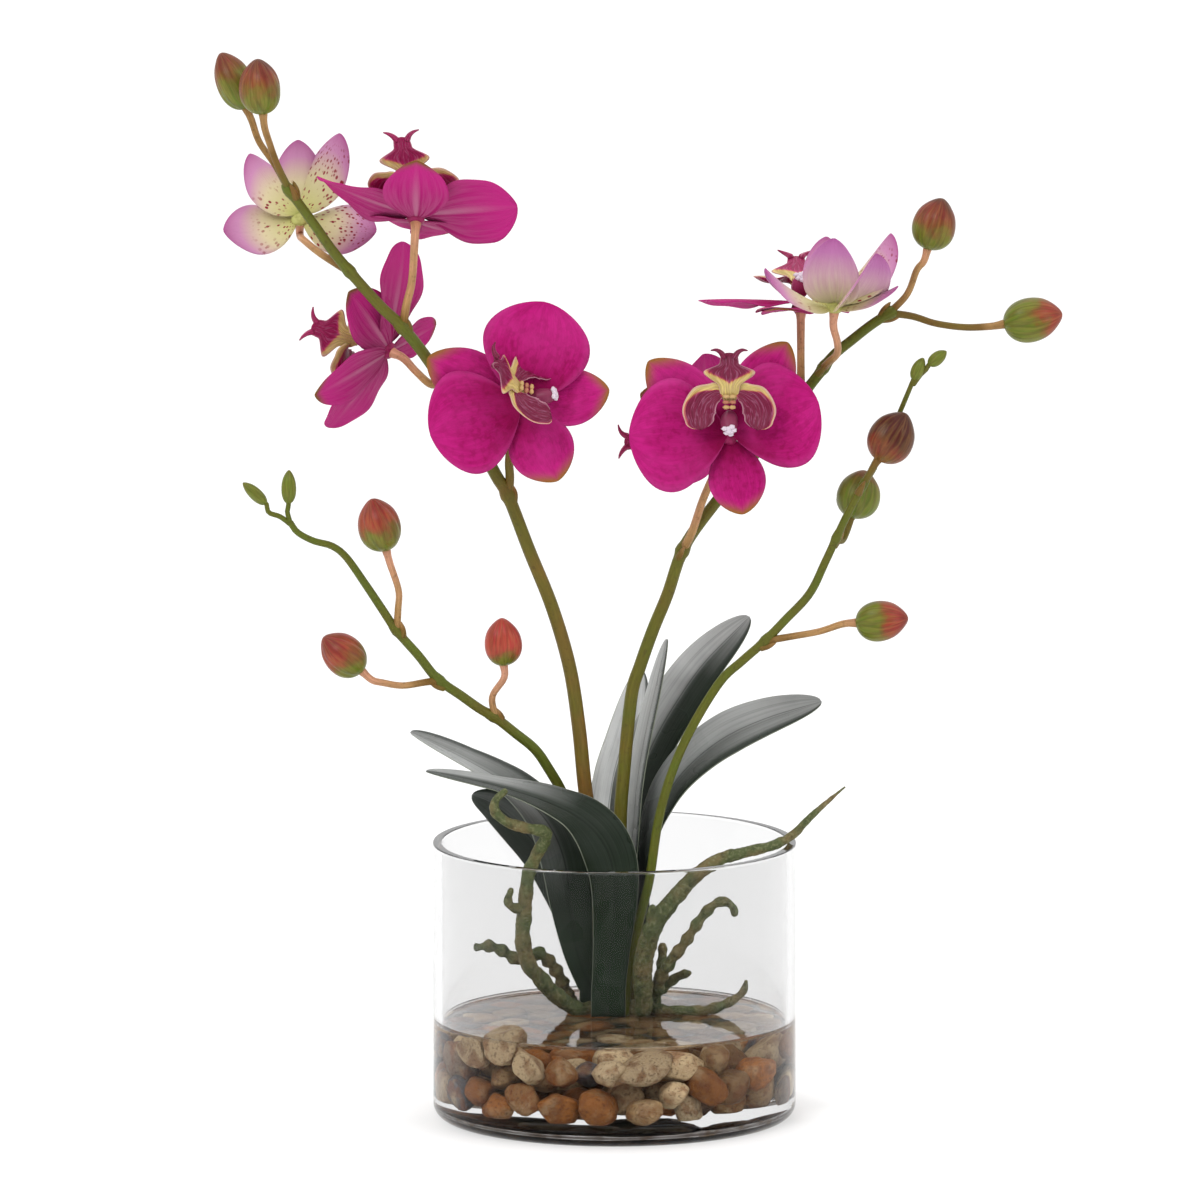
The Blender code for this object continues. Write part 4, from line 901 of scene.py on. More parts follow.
# Each bud: foot, tip, thickness across, how far the red reaches down it and how bright the red is
BUDS = {
    "bud_top_left": ((-128, -3, 356.5), (-136.9, -1, 375.8), 12.8, -0.15, 0.0),
    "bud_top_front": ((-122, -13, 356), (-124, -14, 375.5), 14.4, 0.0, 0.1),
    "bud_left_high": ((-79.5, -7, 201.5), (-84.5, -8, 220), 14.8, 0.05, 0.55),
    "bud_left_low": ((-88, -5, 158.5), (-101.5, -7, 171), 14.0, 0.10, 0.5),
    "bud_left_inner": ((-38.7, 2, 159.5), (-39.3, 0, 176.5), 13.0, 0.20, 1.0),
    "bud_right_high": ((109, 8, 305.5), (114.2, 7, 323.5), 15.0, 0.0, 0.05),
    "bud_right_far": ((135.6, 11, 278.6), (156.2, 12, 282), 15.4, -0.20, 0.5),
    "bud_spray_top": ((91.6, -11, 234), (101.5, -10.5, 250.5), 16.0, 0.50, 0.0),
    "bud_spray_back": ((82.5, -0.5, 212), (87.5, 1.5, 228.5), 15.2, -0.45, 0.0),
    "bud_spray_side": ((84, -13, 177), (102.3, -15, 179), 14.0, -0.10, 0.5),
}


def bud_into(bm, foot, tip, width, blush, bright, segments, rings, finish=0):
    """Closed bud: an egg with a drawn-out tip, three soft folds and a fine seam between each two."""
    red = point_mark(bm, "blush")
    bright_mark = point_mark(bm, "bright")
    axis = Vector(tip) - Vector(foot)
    turned_to = Matrix.Translation(Vector(foot)) @ axis.to_track_quat("Z", "Y").to_matrix().to_4x4()
    shape = []
    for ring in range(rings + 1):
        height = -math.cos(math.pi * ring / rings)
        out = math.sin(math.pi * ring / rings)
        row = []
        for segment in range(segments if 0 < ring < rings else 1):
            turn = math.tau * segment / segments
            point = max(0.0, (height - BUD_SHOULDER) / (1.0 - BUD_SHOULDER))
            lean = (turn + BUD_TWIST * height) * 3.0
            seam = math.exp(-((1.0 + math.cos(lean)) / BUD_SEAM_WIDTH) ** 2)
            folds = 1.0 + BUD_FOLD * math.cos(lean) - BUD_SEAM * seam
            reach = out * (1.0 - BUD_TAPER * height) * (1.0 - BUD_PINCH * point * point) * folds * 0.5 * width
            vert = bm.verts.new(turned_to @ Vector((
                reach * math.cos(turn), reach * math.sin(turn), (height + 1.0) * 0.5 * axis.length)))
            vert[red] = 0.5 * (height + 1.0) + blush
            vert[bright_mark] = bright
            row.append(vert)
        shape.append((row, ring / rings))
    wrap_rings(bm, shape, segments, finish)


def wander(tree, value, mask, amount):
    """A value moved up or down where a mask is light or dark, by half the amount at most."""
    swing = calculate(tree, "MULTIPLY", calculate(tree, "SUBTRACT", mask, 0.5), amount)
    return calculate(tree, "ADD", value, swing)


bud_skin, tree, shader = new_finish("bud_skin", {
    "Base Color": paint(104, 74, 42), "Roughness": 0.38, "Specular IOR Level": 0.22})
reach = wander(tree, mark_of(tree, "blush"), patchy(tree, 160.0, 0.3, 0.7, 3.0), 0.30)
skin = colour_ramp(tree, reach, ((0.0, (94, 110, 30)), (0.30, (98, 106, 28)), (0.52, (112, 68, 28)),
                                 (0.75, (114, 42, 28)), (1.0, (70, 22, 16))))
blushing = lay_over(tree, mark_of(tree, "bright"), between(tree, reach, 0.35, 0.65, 0.0, 0.85), skin,
                    (172, 52, 50))
pleated = lay_over(tree, lined_by(tree, 22.0, 2.0, 0.3, 1.0), 0.20, blushing, (164, 130, 72))
creased = lay_over(tree, lined_by(tree, 15.0, 1.2, 0.55, 1.0), 0.35, pleated, (54, 34, 12))
tree.links.new(creased, shader.inputs["Base Color"])
roughen(tree, shader, lined_by(tree, 30.0, 1.6, 0.0, 1.0), 0.3, 0.2)

for name, (foot, tip, width, blush, bright) in BUDS.items():
    bm = bmesh.new()
    bud_into(bm, foot, tip, width, blush, bright, 48, 32)
    piece = make_piece(name + "_moulding", bm, [bud_skin])
    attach(piece, "root")
    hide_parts(name)


# Stems
# Plastic-covered wire: olive main stems with a scale at each joint, and thinner pinkish stalks that
# each carry a bud or a flower. Their feet are pushed into the crown.
STEM_SINK = 5.0
JOINT_SWELL = 0.30
JOINT_ABOVE = 0.5
JOINT_LENGTH = 1.7
MOST_SWELL = 0.35
SEAT_DEPTH = 0.4
HUB_BACK = 3.0

# Each flower that a stalk ends at: middle, the way its face looks, the way its top points, the lip's
# direction and the tepals. Each tepal: layer, direction round the face, length, width, rise from the
# face, further rise and twist.
FLOWERS = {
    "flower_front_left": (
        (-32, -16, 254), (0.08, -0.95, 0.22), (0, 0, 1), 165,
        (("sepal", 152, 36, 21, -4, 4, 0), ("sepal", 10, 30, 20, -5, 8, 0), ("sepal", -66, 28, 23, -2, 10, 0),
         ("petal", 76, 36, 38, 5, -8, 0), ("petal", 196, 33, 37, 6, -10, 0))),
    "flower_front_right": (
        (40, -16, 243.5), (-0.02, -0.94, 0.32), (0, 0, 1), 90,
        (("sepal", -80, 27, 20, -3, 6, 0), ("sepal", 137, 38, 21, -4, 5, 0), ("sepal", 59, 38, 21, -4, 5, 0),
         ("petal", 180, 34, 40, 6, -10, 0), ("petal", 22, 32, 39, 6, -8, 0))),
    "flower_behind_right": (
        (31.5, 25, 240), (-0.85, 0.5, 0.1), (0.5, 0.8, 0.2), -90,
        (("sepal", 84, 24, 17, 0, 5, 0), ("petal", 10, 25, 30, 6, -6, 0), ("petal", 195, 20, 26, 8, -4, 0),
         ("sepal", 308, 33, 18, 18, 6, 0), ("sepal", 246, 24, 17, 10, 6, 0))),
    "flower_left": (
        (-79.6, 18, 268.5), (-0.8, 0.5, 0.33), (0.52, 0.8, -0.2), -90,
        (("sepal", 66, 27, 15, 0, 0, 0), ("petal", 2, 37, 32, 10, 10, 0), ("petal", 180, 34, 30, 8, 12, 0),
         ("sepal", 305, 30, 20, 18, 8, 0), ("sepal", 238, 37, 20, 4, 4, 0))),
    "flower_top": (
        (-69, -4, 318.6), (0.05, 0.62, 0.78), (0, -0.8, 0.6), 76,
        (("sepal", 90, 30, 23, 4, 16, 0), ("petal", 8, 36, 30, 12, 10, -30),
         ("petal", 168, 35, 32, 4, -6, -22), ("sepal", 240, 28, 19, 16, 10, 0),
         ("sepal", 303, 26, 18, 23, 10, 0))),
    "flower_right_top": (
        (65, 16, 284.5), (0, 0.17, 0.98), (-0.25, -0.95, 0.15), -72,
        (("sepal", 88, 27, 19, -3, 3, 0), ("petal", 6, 35, 32, 4, -6, 0), ("petal", 200, 26, 30, 6, -2, 0),
         ("sepal", 308, 28, 18, 0, 4, 0), ("sepal", 256, 28, 18, 0, 4, 0))),
}

# The half-open blooms have no lip; a last number says how spotted a tepal is
HALF_OPEN = {
    "bloom_right": (
        (76.5, -10, 288.5), (0.05, 0, 1), (0, 1, 0),
        (("sepal", 190, 28, 17, 14, 30, 0), ("petal", 262, 27, 20, 44, 44, 0),
         ("sepal", 318, 28, 21, 34, 36, 0), ("petal", 27, 31, 21, 40, 20, 0, 0.9),
         ("sepal", 105, 27, 17, 44, 30, 0, 0.6), ("sepal", 352, 23, 10, 16, 16, 0))),
    "bloom_left": (
        (-109.8, 24, 314.5), (0, -0.4, 0.92), (0, 0.92, 0.4),
        (("sepal", 183, 26, 19, -10, 4, -70, 0.2), ("petal", 140, 27, 18, 33, 4, 0, 0.1),
         ("sepal", 92, 28, 18, 40, 10, 0), ("petal", 52, 31, 17, 42, 6, 0, 0.9),
         ("sepal", -3, 26, 19, -10, 4, 70, 1.0))),
}

# Each stem: its route, radii and tone at foot and tip, then each stalk with the bud or flower that it
# ends square behind, its route, radius and tone, and last the small tip buds, each at the end of its
# route with its own foot, tip and width.
STEMS = {
    "flower_stem_left": (
        ((-0.5, 15.2, FOOT), (-3.6, 17, 70), (-7.8, 16.5, 96), (-10.4, 16, 114.5),
         (-12.5, 13, 136), (-15.7, 10, 157.5), (-21.7, 7, 179), (-29.9, 5, 200), (-37.2, 3, 219.5),
         (-41.5, 2, 227), (-54, 1, 250.5), (-65.5, 0, 268.5), (-74.5, -1, 280), (-82.5, -2, 288),
         (-96.5, -3, 304.5), (-104.5, -4, 316), (-110.5, -5, 324.5), (-114.5, -5, 330)),
        (2.75, 2.6, 2.4, 2.2, 2.0, 1.6), (0.55, 0.0),
        (("bud_top_left", ((-113, -5, 328), (-118, -5, 337), (-123.5, -4, 345)), 1.2, 0.55),
         ("bud_top_front", ((-113, -5, 328), (-117, -8, 337), (-120, -11, 346)), 1.2, 0.6),
         ("bloom_left", ((-92, -2.7, 299), (-97, 1, 301.5), (-103, 7, 304.5), (-108, 14, 307.5)), 1.3, 0.85),
         ("flower_top", ((-73.7, -1, 279), (-72.5, -1, 287), (-70.5, -2, 296)), 1.4, 0.9),
         ("flower_left", ((-60, 0.6, 260), (-64, 4, 258.5), (-69, 9, 262)), 1.4, 1.0),
         ("flower_front_left", ((-37, 3, 219), (-36.5, 1.5, 226), (-36.5, -1.5, 235)), 1.5, 0.6)),
        ()),
    "flower_stem_right": (
        ((5.5, 14.5, FOOT), (3, 15, 70), (2, 15, 100), (3.5, 15, 122), (6, 14, 147),
         (9, 13, 157.5), (13.5, 12, 170.5), (18.5, 11, 183), (24.5, 9, 200.5), (36, 8, 217),
         (52.5, 8, 237.5), (69.5, 9, 259), (76, 9, 267.5), (83, 9, 273.5), (90, 9, 279), (97, 9, 283.5)),
        (2.6, 2.4, 2.3, 2.1, 1.9, 1.7), (0.25, 0.05),
        (("bud_right_high", ((95.5, 9, 282.6), (102, 9, 289.5), (105.3, 8.5, 298)), 1.2, 0.8),
         ("bud_right_far", ((96, 9, 282.8), (104, 10, 281.5), (112, 10, 279), (122, 11, 277.5)), 1.2, 0.55),
         ("flower_right_top", ((65, 9, 254), (65, 11, 262), (65, 13.5, 270)), 1.4, 1.0),
         ("bloom_right", ((72.5, 9, 263), (74.5, 5, 266), (77.5, -1, 270), (77.5, -6, 275)), 1.3, 1.0),
         ("flower_front_right", ((23.5, 9.3, 198.5), (27, 5, 206), (31, -1, 219), (36, -5, 231)), 1.4, 1.0),
         ("flower_behind_right", ((40, 8, 222), (42, 14, 225), (43, 20, 231)), 1.4, 1.0)),
        ()),
    "bud_stem_left": (
        ((-5.6, 18.6, FOOT), (-7.5, 21.2, 70), (-12, 22.6, 92), (-17.5, 22.4, 109),
         (-23.5, 19.5, 120.5), (-28, 16, 127.5), (-34.5, 12.5, 133.5), (-41.5, 10, 139.5),
         (-47, 8, 143), (-53.5, 6, 148), (-62, 4, 154.5), (-68.5, 2, 163), (-76, 0, 172),
         (-81.5, -1, 180.5), (-87, -2, 189), (-93.5, -3, 198.5), (-98.5, -3, 202.5),
         (-105, -4, 204.5), (-110.5, -4, 207.5), (-113, -4, 211)),
        (1.9, 1.9, 1.8, 1.7, 1.5, 1.1), (0.15, 0.0),
        (("bud_left_high", ((-76, 0, 172), (-75.5, -2, 180), (-75.3, -4, 187)), 1.2, 0.95),
         ("bud_left_low", ((-61, 4.2, 153.8), (-66, 2, 153.5), (-74, -1, 152.8), (-81, -3, 154.2)), 1.2, 0.9),
         ("bud_left_inner", ((-41.5, 10, 139.5), (-42.7, 6.5, 147.5)), 1.2, 1.0)),
        (((-112.5, -4, 210), (-116.5, -4, 213), (-120.5, -4, 214.5), (-121.3, -4, 217.5),
          (-129.5, -4, 225), 4.4),
         ((-112.8, -4, 210), (-114, -4, 214.5), (-113.8, -4, 216), (-113.6, -4, 217.5),
          (-113.4, -4, 229.5), 5.2))),
    "bud_stem_right": (
        ((4.2, 9.4, FOOT), (5.0, 10, 50), (7.4, 10, 62), (10, 8.4, 73), (12.5, 7, 84),
         (15.5, 5, 104.5), (20.5, 3.6, 122.5), (27.5, 1, 138.5), (37, -2, 154.5),
         (44.5, -4, 162), (52.5, -6, 169.5), (59.5, -7, 177), (68, -8, 186.5),
         (73.5, -9, 198), (80.5, -10, 213.5), (86.5, -10, 225), (90.3, -10.6, 231.6)),
        (1.65, 1.65, 1.6, 1.5, 1.3), (0.10, 0.0),
        (("bud_spray_side", ((52.5, -6, 169.5), (62.5, -8, 171.5), (71.5, -10, 173.5)), 1.2, 0.8),
         ("bud_spray_back", ((77.1, -9.5, 206), (79.4, -5.5, 204.8)), 1.1, 0.3),
         ("bud_spray_top", ((86.5, -10, 225),), 1.2, 0.5)),
        (((85.5, -10, 223), (91, -4, 233), (96.5, -0.2, 242.5), (104, -6, 261.5),
          (107.5, -7, 269.5), 4.6),
         ((104, -6, 260), (106.5, -6.5, 263.5), (108.5, -7, 265.5), (109.3, -7, 267),
          (115.5, -8, 272), 4.6))),
}


def seat(name):
    """Where a stalk ends inside its bud or flower, and the way it points there."""
    if name in BUDS:
        foot, tip = BUDS[name][:2]
        way = (Vector(tip) - Vector(foot)).normalized()
        return Vector(foot) + way * SEAT_DEPTH, way
    place, faces = (FLOWERS.get(name) or HALF_OPEN[name])[:2]
    way = Vector(faces).normalized()
    return Vector(place) - way * (HUB_BACK - SEAT_DEPTH), way


stem_skin, tree, shader = new_finish("stem_skin", {
    "Base Color": paint(96, 94, 44), "Roughness": 0.45, "Specular IOR Level": 0.2})
tint = wander(tree, mark_of(tree, "tone"), patchy(tree, 60.0, 0.3, 0.7, 3.0), 0.25)
rind = colour_ramp(tree, tint, ((0.0, (88, 100, 26)), (0.25, (104, 94, 30)), (0.45, (124, 88, 38)),
                                (0.62, (186, 142, 92)), (0.85, (208, 150, 118)), (1.0, (218, 156, 128))))
fibrous = lay_over(tree, lined_by(tree, 9.0, 3.0, 0.1, 1.0), 0.35, rind, (74, 66, 22))
freckled = lay_over(tree, patchy(tree, 700.0, 0.58, 0.7, 3.0), 0.35, fibrous, (68, 50, 28))
tree.links.new(freckled, shader.inputs["Base Color"])
roughen(tree, shader, lined_by(tree, 12.0, 3.0, 0.0, 1.0), 0.4, 0.25)

for name, (route, radii, tones, branches, tips) in STEMS.items():
    bm = bmesh.new()
    start = Vector(route[0])
    main = smooth_route((start, start + Vector((0, 0, 4.0)), *route[1:]), 1.6)
    main.insert(0, start - Vector((0, 0, STEM_SINK)))
    shares, length = lengths_along(main)
    joints = []
    for branch in branches:
        begin = Vector(branch[1][0])
        near = min(range(len(main)), key=lambda index: (main[index] - begin).length)
        joints.append(shares[near] * length)

    def main_radius(share, run):
        """The main stem swells a little just above each joint."""
        swell = sum(JOINT_SWELL * math.exp(-((run - joint - JOINT_ABOVE) / JOINT_LENGTH) ** 2)
                    for joint in joints)
        return blend(radii, share) * (1.0 + min(swell, MOST_SWELL))

    tube_into(bm, main, main_radius, 18, tones=tones)
    for (target, points, radius, tone), joint in zip(branches, joints):
        end, way = seat(target)
        path = [Vector(point) for point in points] + [end - way * 5.0, end]

        def stalk_radius(share, run):
            """A stalk is thinnest half way, and widens where it meets its bud or flower."""
            return radius * (1.12 - 0.14 * math.sin(math.pi * share) + 0.25 * max(0.0, share - 0.92) / 0.08)

        tube_into(bm, smooth_route(path, 1.2), stalk_radius, 14, tones=(0.45 * tone, tone))
        # The scale at a joint starts inside the main stem and ends over the stalk
        at = point_at(main, shares, joint / length)
        on = (point_at(main, shares, min(joint / length + 0.02, 1.0)) - at).normalized()
        out = path[1] - path[0]
        out = (out - on * on.dot(out)).normalized()
        scale = [at - on * 2.6 + out * 0.6, at - on * 0.4 + out * (radius + 0.9),
                 at + on * 2.6 + out * (radius + 1.9)]
        tube_into(bm, smooth_route(scale, 0.6), lambda share, run: 1.35 * (1.0 - share) ** 0.6 + 0.18, 10,
                  tones=(0.3, 0.5))
    for *points, foot, tip, width in tips:
        path = [Vector(point) for point in points] + [Vector(foot), Vector(foot).lerp(Vector(tip), 0.2)]
        tube_into(bm, smooth_route(path, 1.2), lambda share, run: 0.95 - 0.1 * share, 12, tones=(0.1, 0.1))
        bud_into(bm, foot, tip, width, -0.75, 0.0, 24, 18, finish=1)
    piece = make_piece(name + "_wire", bm, [stem_skin, bud_skin])
    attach(piece, "root")
    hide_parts(name)


# Open flowers
# Printed silk petals and sepals, stiffened and pressed to shape, on a small moulded hub.
# Two broad petals lie over three narrower sepals, whose tips are brushed olive.
HUB_RADIUS = 3.2
HUB_FRONT = 1.4
TEPAL_THICK = 0.7
TEPAL_NECK = 1.5
LAYER_STEP = 1.1
PETAL_CUP = 0.10
SEPAL_CUP = 0.16
YOUNG_CUP = 0.42
PETAL_SHAPE = (1.25, 0.55)
SEPAL_SHAPE = (1.1, 0.62)
YOUNG_SHAPE = (0.92, 0.60)
PETAL_WAVE = 0.07
PETAL_FRILL = 0.045
TEPAL_ROWS = 40
TEPAL_COLUMNS = 18


def brush_tips(tree, across, along, bow, start, under, over):
    """Brush a colour over the tips of the sepals; its border bows with the distance across."""
    reach = calculate(tree, "ADD", along, calculate(tree, "MULTIPLY", across, bow))
    return lay_over(tree, mark_of(tree, "sepal"), between(tree, reach, start, 1.0), under, over)


petal_face, tree, shader = new_finish("petal_face", {
    "Base Color": paint(164, 30, 102), "Roughness": 0.62, "Specular IOR Level": 0.05})
across, along = sheet_places(tree)
# Darker towards the hub: partly the silk's deeper colour there, partly painted shade at the flower's middle
silk = mix_colour(tree, between(tree, along, 0.10, 0.70), (124, 4, 60), (174, 24, 110))
veined = lay_over(tree, lined_by(tree, 17.0, 3.2, 0.3, 1.0), 0.35, silk, (122, 8, 62))
mottled = lay_over(tree, patchy(tree, 520.0, 0.48, 0.62, 3.0), between(tree, along, 0.35, 0.95, 0.5, 0.08),
                   veined, (118, 6, 56))
washed = lay_over(tree, patchy(tree, 70.0, 0.40, 0.70, 3.0), 0.35, mottled, (192, 52, 134))
# Painted sheen: the rims are painted a lighter lilac
rimmed = mix_colour(tree, between(tree, across, 0.80, 1.0, 0.0, 0.4), washed, (188, 62, 134))
tree.links.new(brush_tips(tree, across, along, 0.16, 0.74, rimmed, (140, 92, 46)),
               shader.inputs["Base Color"])
roughen(tree, shader, lined_by(tree, 24.0, 3.0, 0.0, 1.0), 0.35, 0.25)

petal_back, tree, shader = new_finish("petal_back", {
    "Base Color": paint(142, 40, 92), "Roughness": 0.62, "Specular IOR Level": 0.05})
across, along = sheet_places(tree)
silk = mix_colour(tree, between(tree, along, 0.0, 0.8), (126, 20, 72), (178, 36, 118))
veined = lay_over(tree, lined_by(tree, 9.0, 1.2, 0.35, 1.0), between(tree, along, 0.1, 0.8, 0.45, 0.04),
                  silk, (186, 104, 146))
ribbed = lay_over(tree, between(tree, across, 0.02, 0.16, 1.0, 0.0),
                  between(tree, along, 0.25, 0.8, 0.5, 0.05), veined, (184, 128, 150))
tree.links.new(brush_tips(tree, across, along, 0.10, 0.78, ribbed, (122, 84, 44)),
               shader.inputs["Base Color"])
roughen(tree, shader, lined_by(tree, 14.0, 1.4, 0.0, 1.0), 0.5, 0.3)

hub_skin, tree, shader = new_finish("hub_skin", {
    "Base Color": paint(150, 52, 92), "Roughness": 0.5, "Specular IOR Level": 0.2})
tree.links.new(mix_colour(tree, patchy(tree, 400.0, 0.4, 0.6, 3.0), (142, 30, 82), (118, 6, 60)),
               shader.inputs["Base Color"])
roughen(tree, shader, patchy(tree, 800.0, 0.3, 0.7, 3.0), 0.4, 0.2)


def facing(place, faces, up):
    """Matrix of a flower: its face looks along local Z and its top is local Y."""
    out = Vector(faces).normalized()
    top = Vector(up)
    top = (top - out * out.dot(top)).normalized()
    return Matrix.Translation(Vector(place)) @ Matrix((top.cross(out), top, out)).transposed().to_4x4()


def tepal_into(bm, turned_to, spec, wavy, young=False):
    """One petal or sepal, from inside the hub out to its tip, in the flower's frame. Its face has the
    flower's first finish and its back the second."""
    layer, turn, length, width, rise, further, twist, *spots = spec
    petal = layer == "petal"
    out = Vector((math.cos(math.radians(turn)), math.sin(math.radians(turn)), 0))
    sideways = Vector((-out.y, out.x, 0))
    place = out + Vector((0, 0, LAYER_STEP if petal else -LAYER_STEP))
    skew, round_end = YOUNG_SHAPE if young else PETAL_SHAPE if petal else SEPAL_SHAPE
    centres, halves, sides = [], [], []
    before = 0.0
    for row in range(TEPAL_ROWS + 1):
        t = 0.5 * (1.0 - math.cos(math.pi * row / TEPAL_ROWS))
        tilt = math.radians(rise + further * 0.5 * (t + before))
        place = place + (out * math.cos(tilt) + Vector((0, 0, math.sin(tilt)))) * length * (t - before)
        before = t
        body = 0.5 * width * math.sin(math.pi * t ** skew) ** round_end if 0 < t < 1 else 0.0
        halves.append(max(body, TEPAL_NECK * (1.0 - t)))
        lean = math.radians(twist * t)
        centres.append(turned_to @ place)
        sides.append(turned_to.to_3x3() @ (sideways * math.cos(lean) + Vector((0, 0, math.sin(lean)))))
    cup = YOUNG_CUP if young else PETAL_CUP if petal else SEPAL_CUP
    wave = PETAL_WAVE if petal and not young else 0.0

    def curl(place, t):
        frill = wavy * abs(place) ** 3 * math.sin(19.0 * t + 2.0 * place + turn) * math.sin(math.pi * t)
        crease = 0.05 * math.exp(-(place / 0.10) ** 2) * (1.0 - t)
        return (cup * place * place + wave * place * abs(place) * math.sin(2.2 * math.pi * t + turn)
                + frill + crease)

    grid = blade_grid(centres, halves, sides, TEPAL_COLUMNS, curl)
    sheet_into(bm, grid, TEPAL_THICK, 1, 0, marks={
        "sepal": 0.0 if petal else 1.0, "spots": spots[0] if spots else 0.0})


def knob_into(bm, turned_to, half, segments, rings, finish=0, marks=None, ripple=0.0):
    """Rounded moulded knob with five faint ribs, in its own frame."""
    uv = bm.loops.layers.uv.verify()
    layers = [(point_mark(bm, name), value) for name, value in (marks or {}).items()]
    shape = bmesh.ops.create_uvsphere(bm, u_segments=segments, v_segments=rings, radius=1.0)
    for vert in shape["verts"]:
        turn = math.atan2(vert.co.y, vert.co.x)
        swell = 1.0 + ripple * math.cos(5.0 * turn) * (1.0 - vert.co.z * vert.co.z)
        for layer, value in layers:
            vert[layer] = value
        vert.co = turned_to @ Vector((vert.co.x * half[0] * swell, vert.co.y * half[1] * swell,
                                      vert.co.z * half[2]))
    for face in {face for vert in shape["verts"] for face in vert.link_faces}:
        face.material_index = finish
        for loop in face.loops:
            loop[uv].uv = (0.5, 0.5)


def hub_into(bm, turned_to):
    """The hub that the tepals grow from, with the third finish of its flower."""
    middle = Matrix.Translation((0, 0, 0.5 * (HUB_FRONT - HUB_BACK)))
    knob_into(bm, turned_to @ middle, (HUB_RADIUS, HUB_RADIUS, 0.5 * (HUB_FRONT + HUB_BACK)), 24, 14, 2,
              ripple=0.06)


for name, (place, faces, up, lip_turn, tepals) in FLOWERS.items():
    bm = bmesh.new()
    turned_to = facing(place, faces, up)
    for spec in tepals:
        tepal_into(bm, turned_to, spec, PETAL_FRILL)
    hub_into(bm, turned_to)
    piece = make_piece(name + "_petals", bm, [petal_face, petal_back, hub_skin])
    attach(piece, "root")
    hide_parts(name)


# Lips
# The third petal of each flower, moulded in soft plastic and glued in the middle: two cupped side
# lobes round a column with a white cap, and a middle lobe with a waist, teeth and curled tendrils.
LIP_THICK = 0.6

# How far a lip is set in towards its flower's middle, the one that looks another way than its
# flower, and the ones of a deeper maroon
LIP_SET_BACK = {"flower_front_left": 8.5, "flower_front_right": 0.4}
PLAIN_SET_BACK = 1.5
LIP_ROLLED = {"flower_front_left": ((0.38, -0.58, 0.72), 153)}
DEEP_LIPS = ("flower_front_left", "flower_front_right")

# The column, and the white lumps that make its cap, set in a spiral on its end
COLUMN_HALF = (3.1, 2.9, 5.4)
COLUMN_MIDDLE = (0.0, -4.2, 6.6)
COLUMN_LEAN = -48.0
CAP_LUMPS = 8
CAP_WIDE = 1.9
CAP_TURN = 2.4

# Across the lip, back along it, up from the face, and half the width there
MIDDLE_LOBE = ((0, -10.8, 6.6, 1.8), (0, -13.0, 8.4, 3.2), (0, -15.6, 10.3, 3.7), (0, -19.8, 13.4, 9.0),
               (0, -23.2, 15.8, 3.3), (0, -25.8, 17.4, 3.0), (0, -26.6, 17.8, 0))
SIDE_LOBE = ((1.8, -14.4, 7.8, 1.6), (5.0, -13.9, 8.4, 3.6), (8.8, -11.2, 8.4, 5.5), (10.4, -7.4, 8.0, 5.9),
             (10.2, -3.6, 8.2, 5.0), (9.8, -0.8, 8.8, 0))
TENDRIL = ((1.9, -25.2, 17.4), (3.0, -26.6, 18.2), (4.6, -27.3, 19.0), (6.3, -27.0, 19.8))
TENDRIL_RADII = (1.2, 0.9, 0.6, 0.25)
CALLUS = ((1.1, -12.6, 9.4, 0.85), (1.2, -10.6, 9.0, 0.55), (1.1, -8.8, 9.2, 0.75))

lip_skin, tree, shader = new_finish("lip_skin", {
    "Base Color": paint(120, 26, 60), "Roughness": 0.42, "Specular IOR Level": 0.25})
cream = wander(tree, mark_of(tree, "cream"), lined_by(tree, 13.0, 1.6, 0.0, 1.0), 0.30)
deep = colour_ramp(tree, cream, ((0.0, (106, 12, 50)), (0.30, (142, 24, 74)), (0.50, (184, 84, 76)),
                                 (0.66, (216, 176, 98)), (1.0, (222, 202, 122))))
rosy = colour_ramp(tree, cream, ((0.0, (150, 20, 78)), (0.30, (180, 42, 104)), (0.50, (200, 100, 100)),
                                 (0.66, (216, 180, 108)), (1.0, (218, 200, 124))))
throat = mix_colour(tree, mark_of(tree, "rosy"), deep, rosy)
striped = lay_over(tree, lined_by(tree, 12.0, 1.6, 0.2, 1.0), 0.45, throat, (84, 6, 36))
veined = lay_over(tree, lined_by(tree, 8.0, 1.3, 0.85, 1.0), 0.22, striped, (206, 140, 176))
rimmed = mix_colour(tree, between(tree, sheet_places(tree)[0], 0.86, 1.0, 0.0, 0.5), veined, (206, 156, 170))
capped = mix_colour(tree, between(tree, mark_of(tree, "white"), 0.35, 0.65), rimmed, (206, 192, 204))
tree.links.new(capped, shader.inputs["Base Color"])
roughen(tree, shader, lined_by(tree, 18.0, 2.0, 0.0, 1.0), 0.5, 0.3)


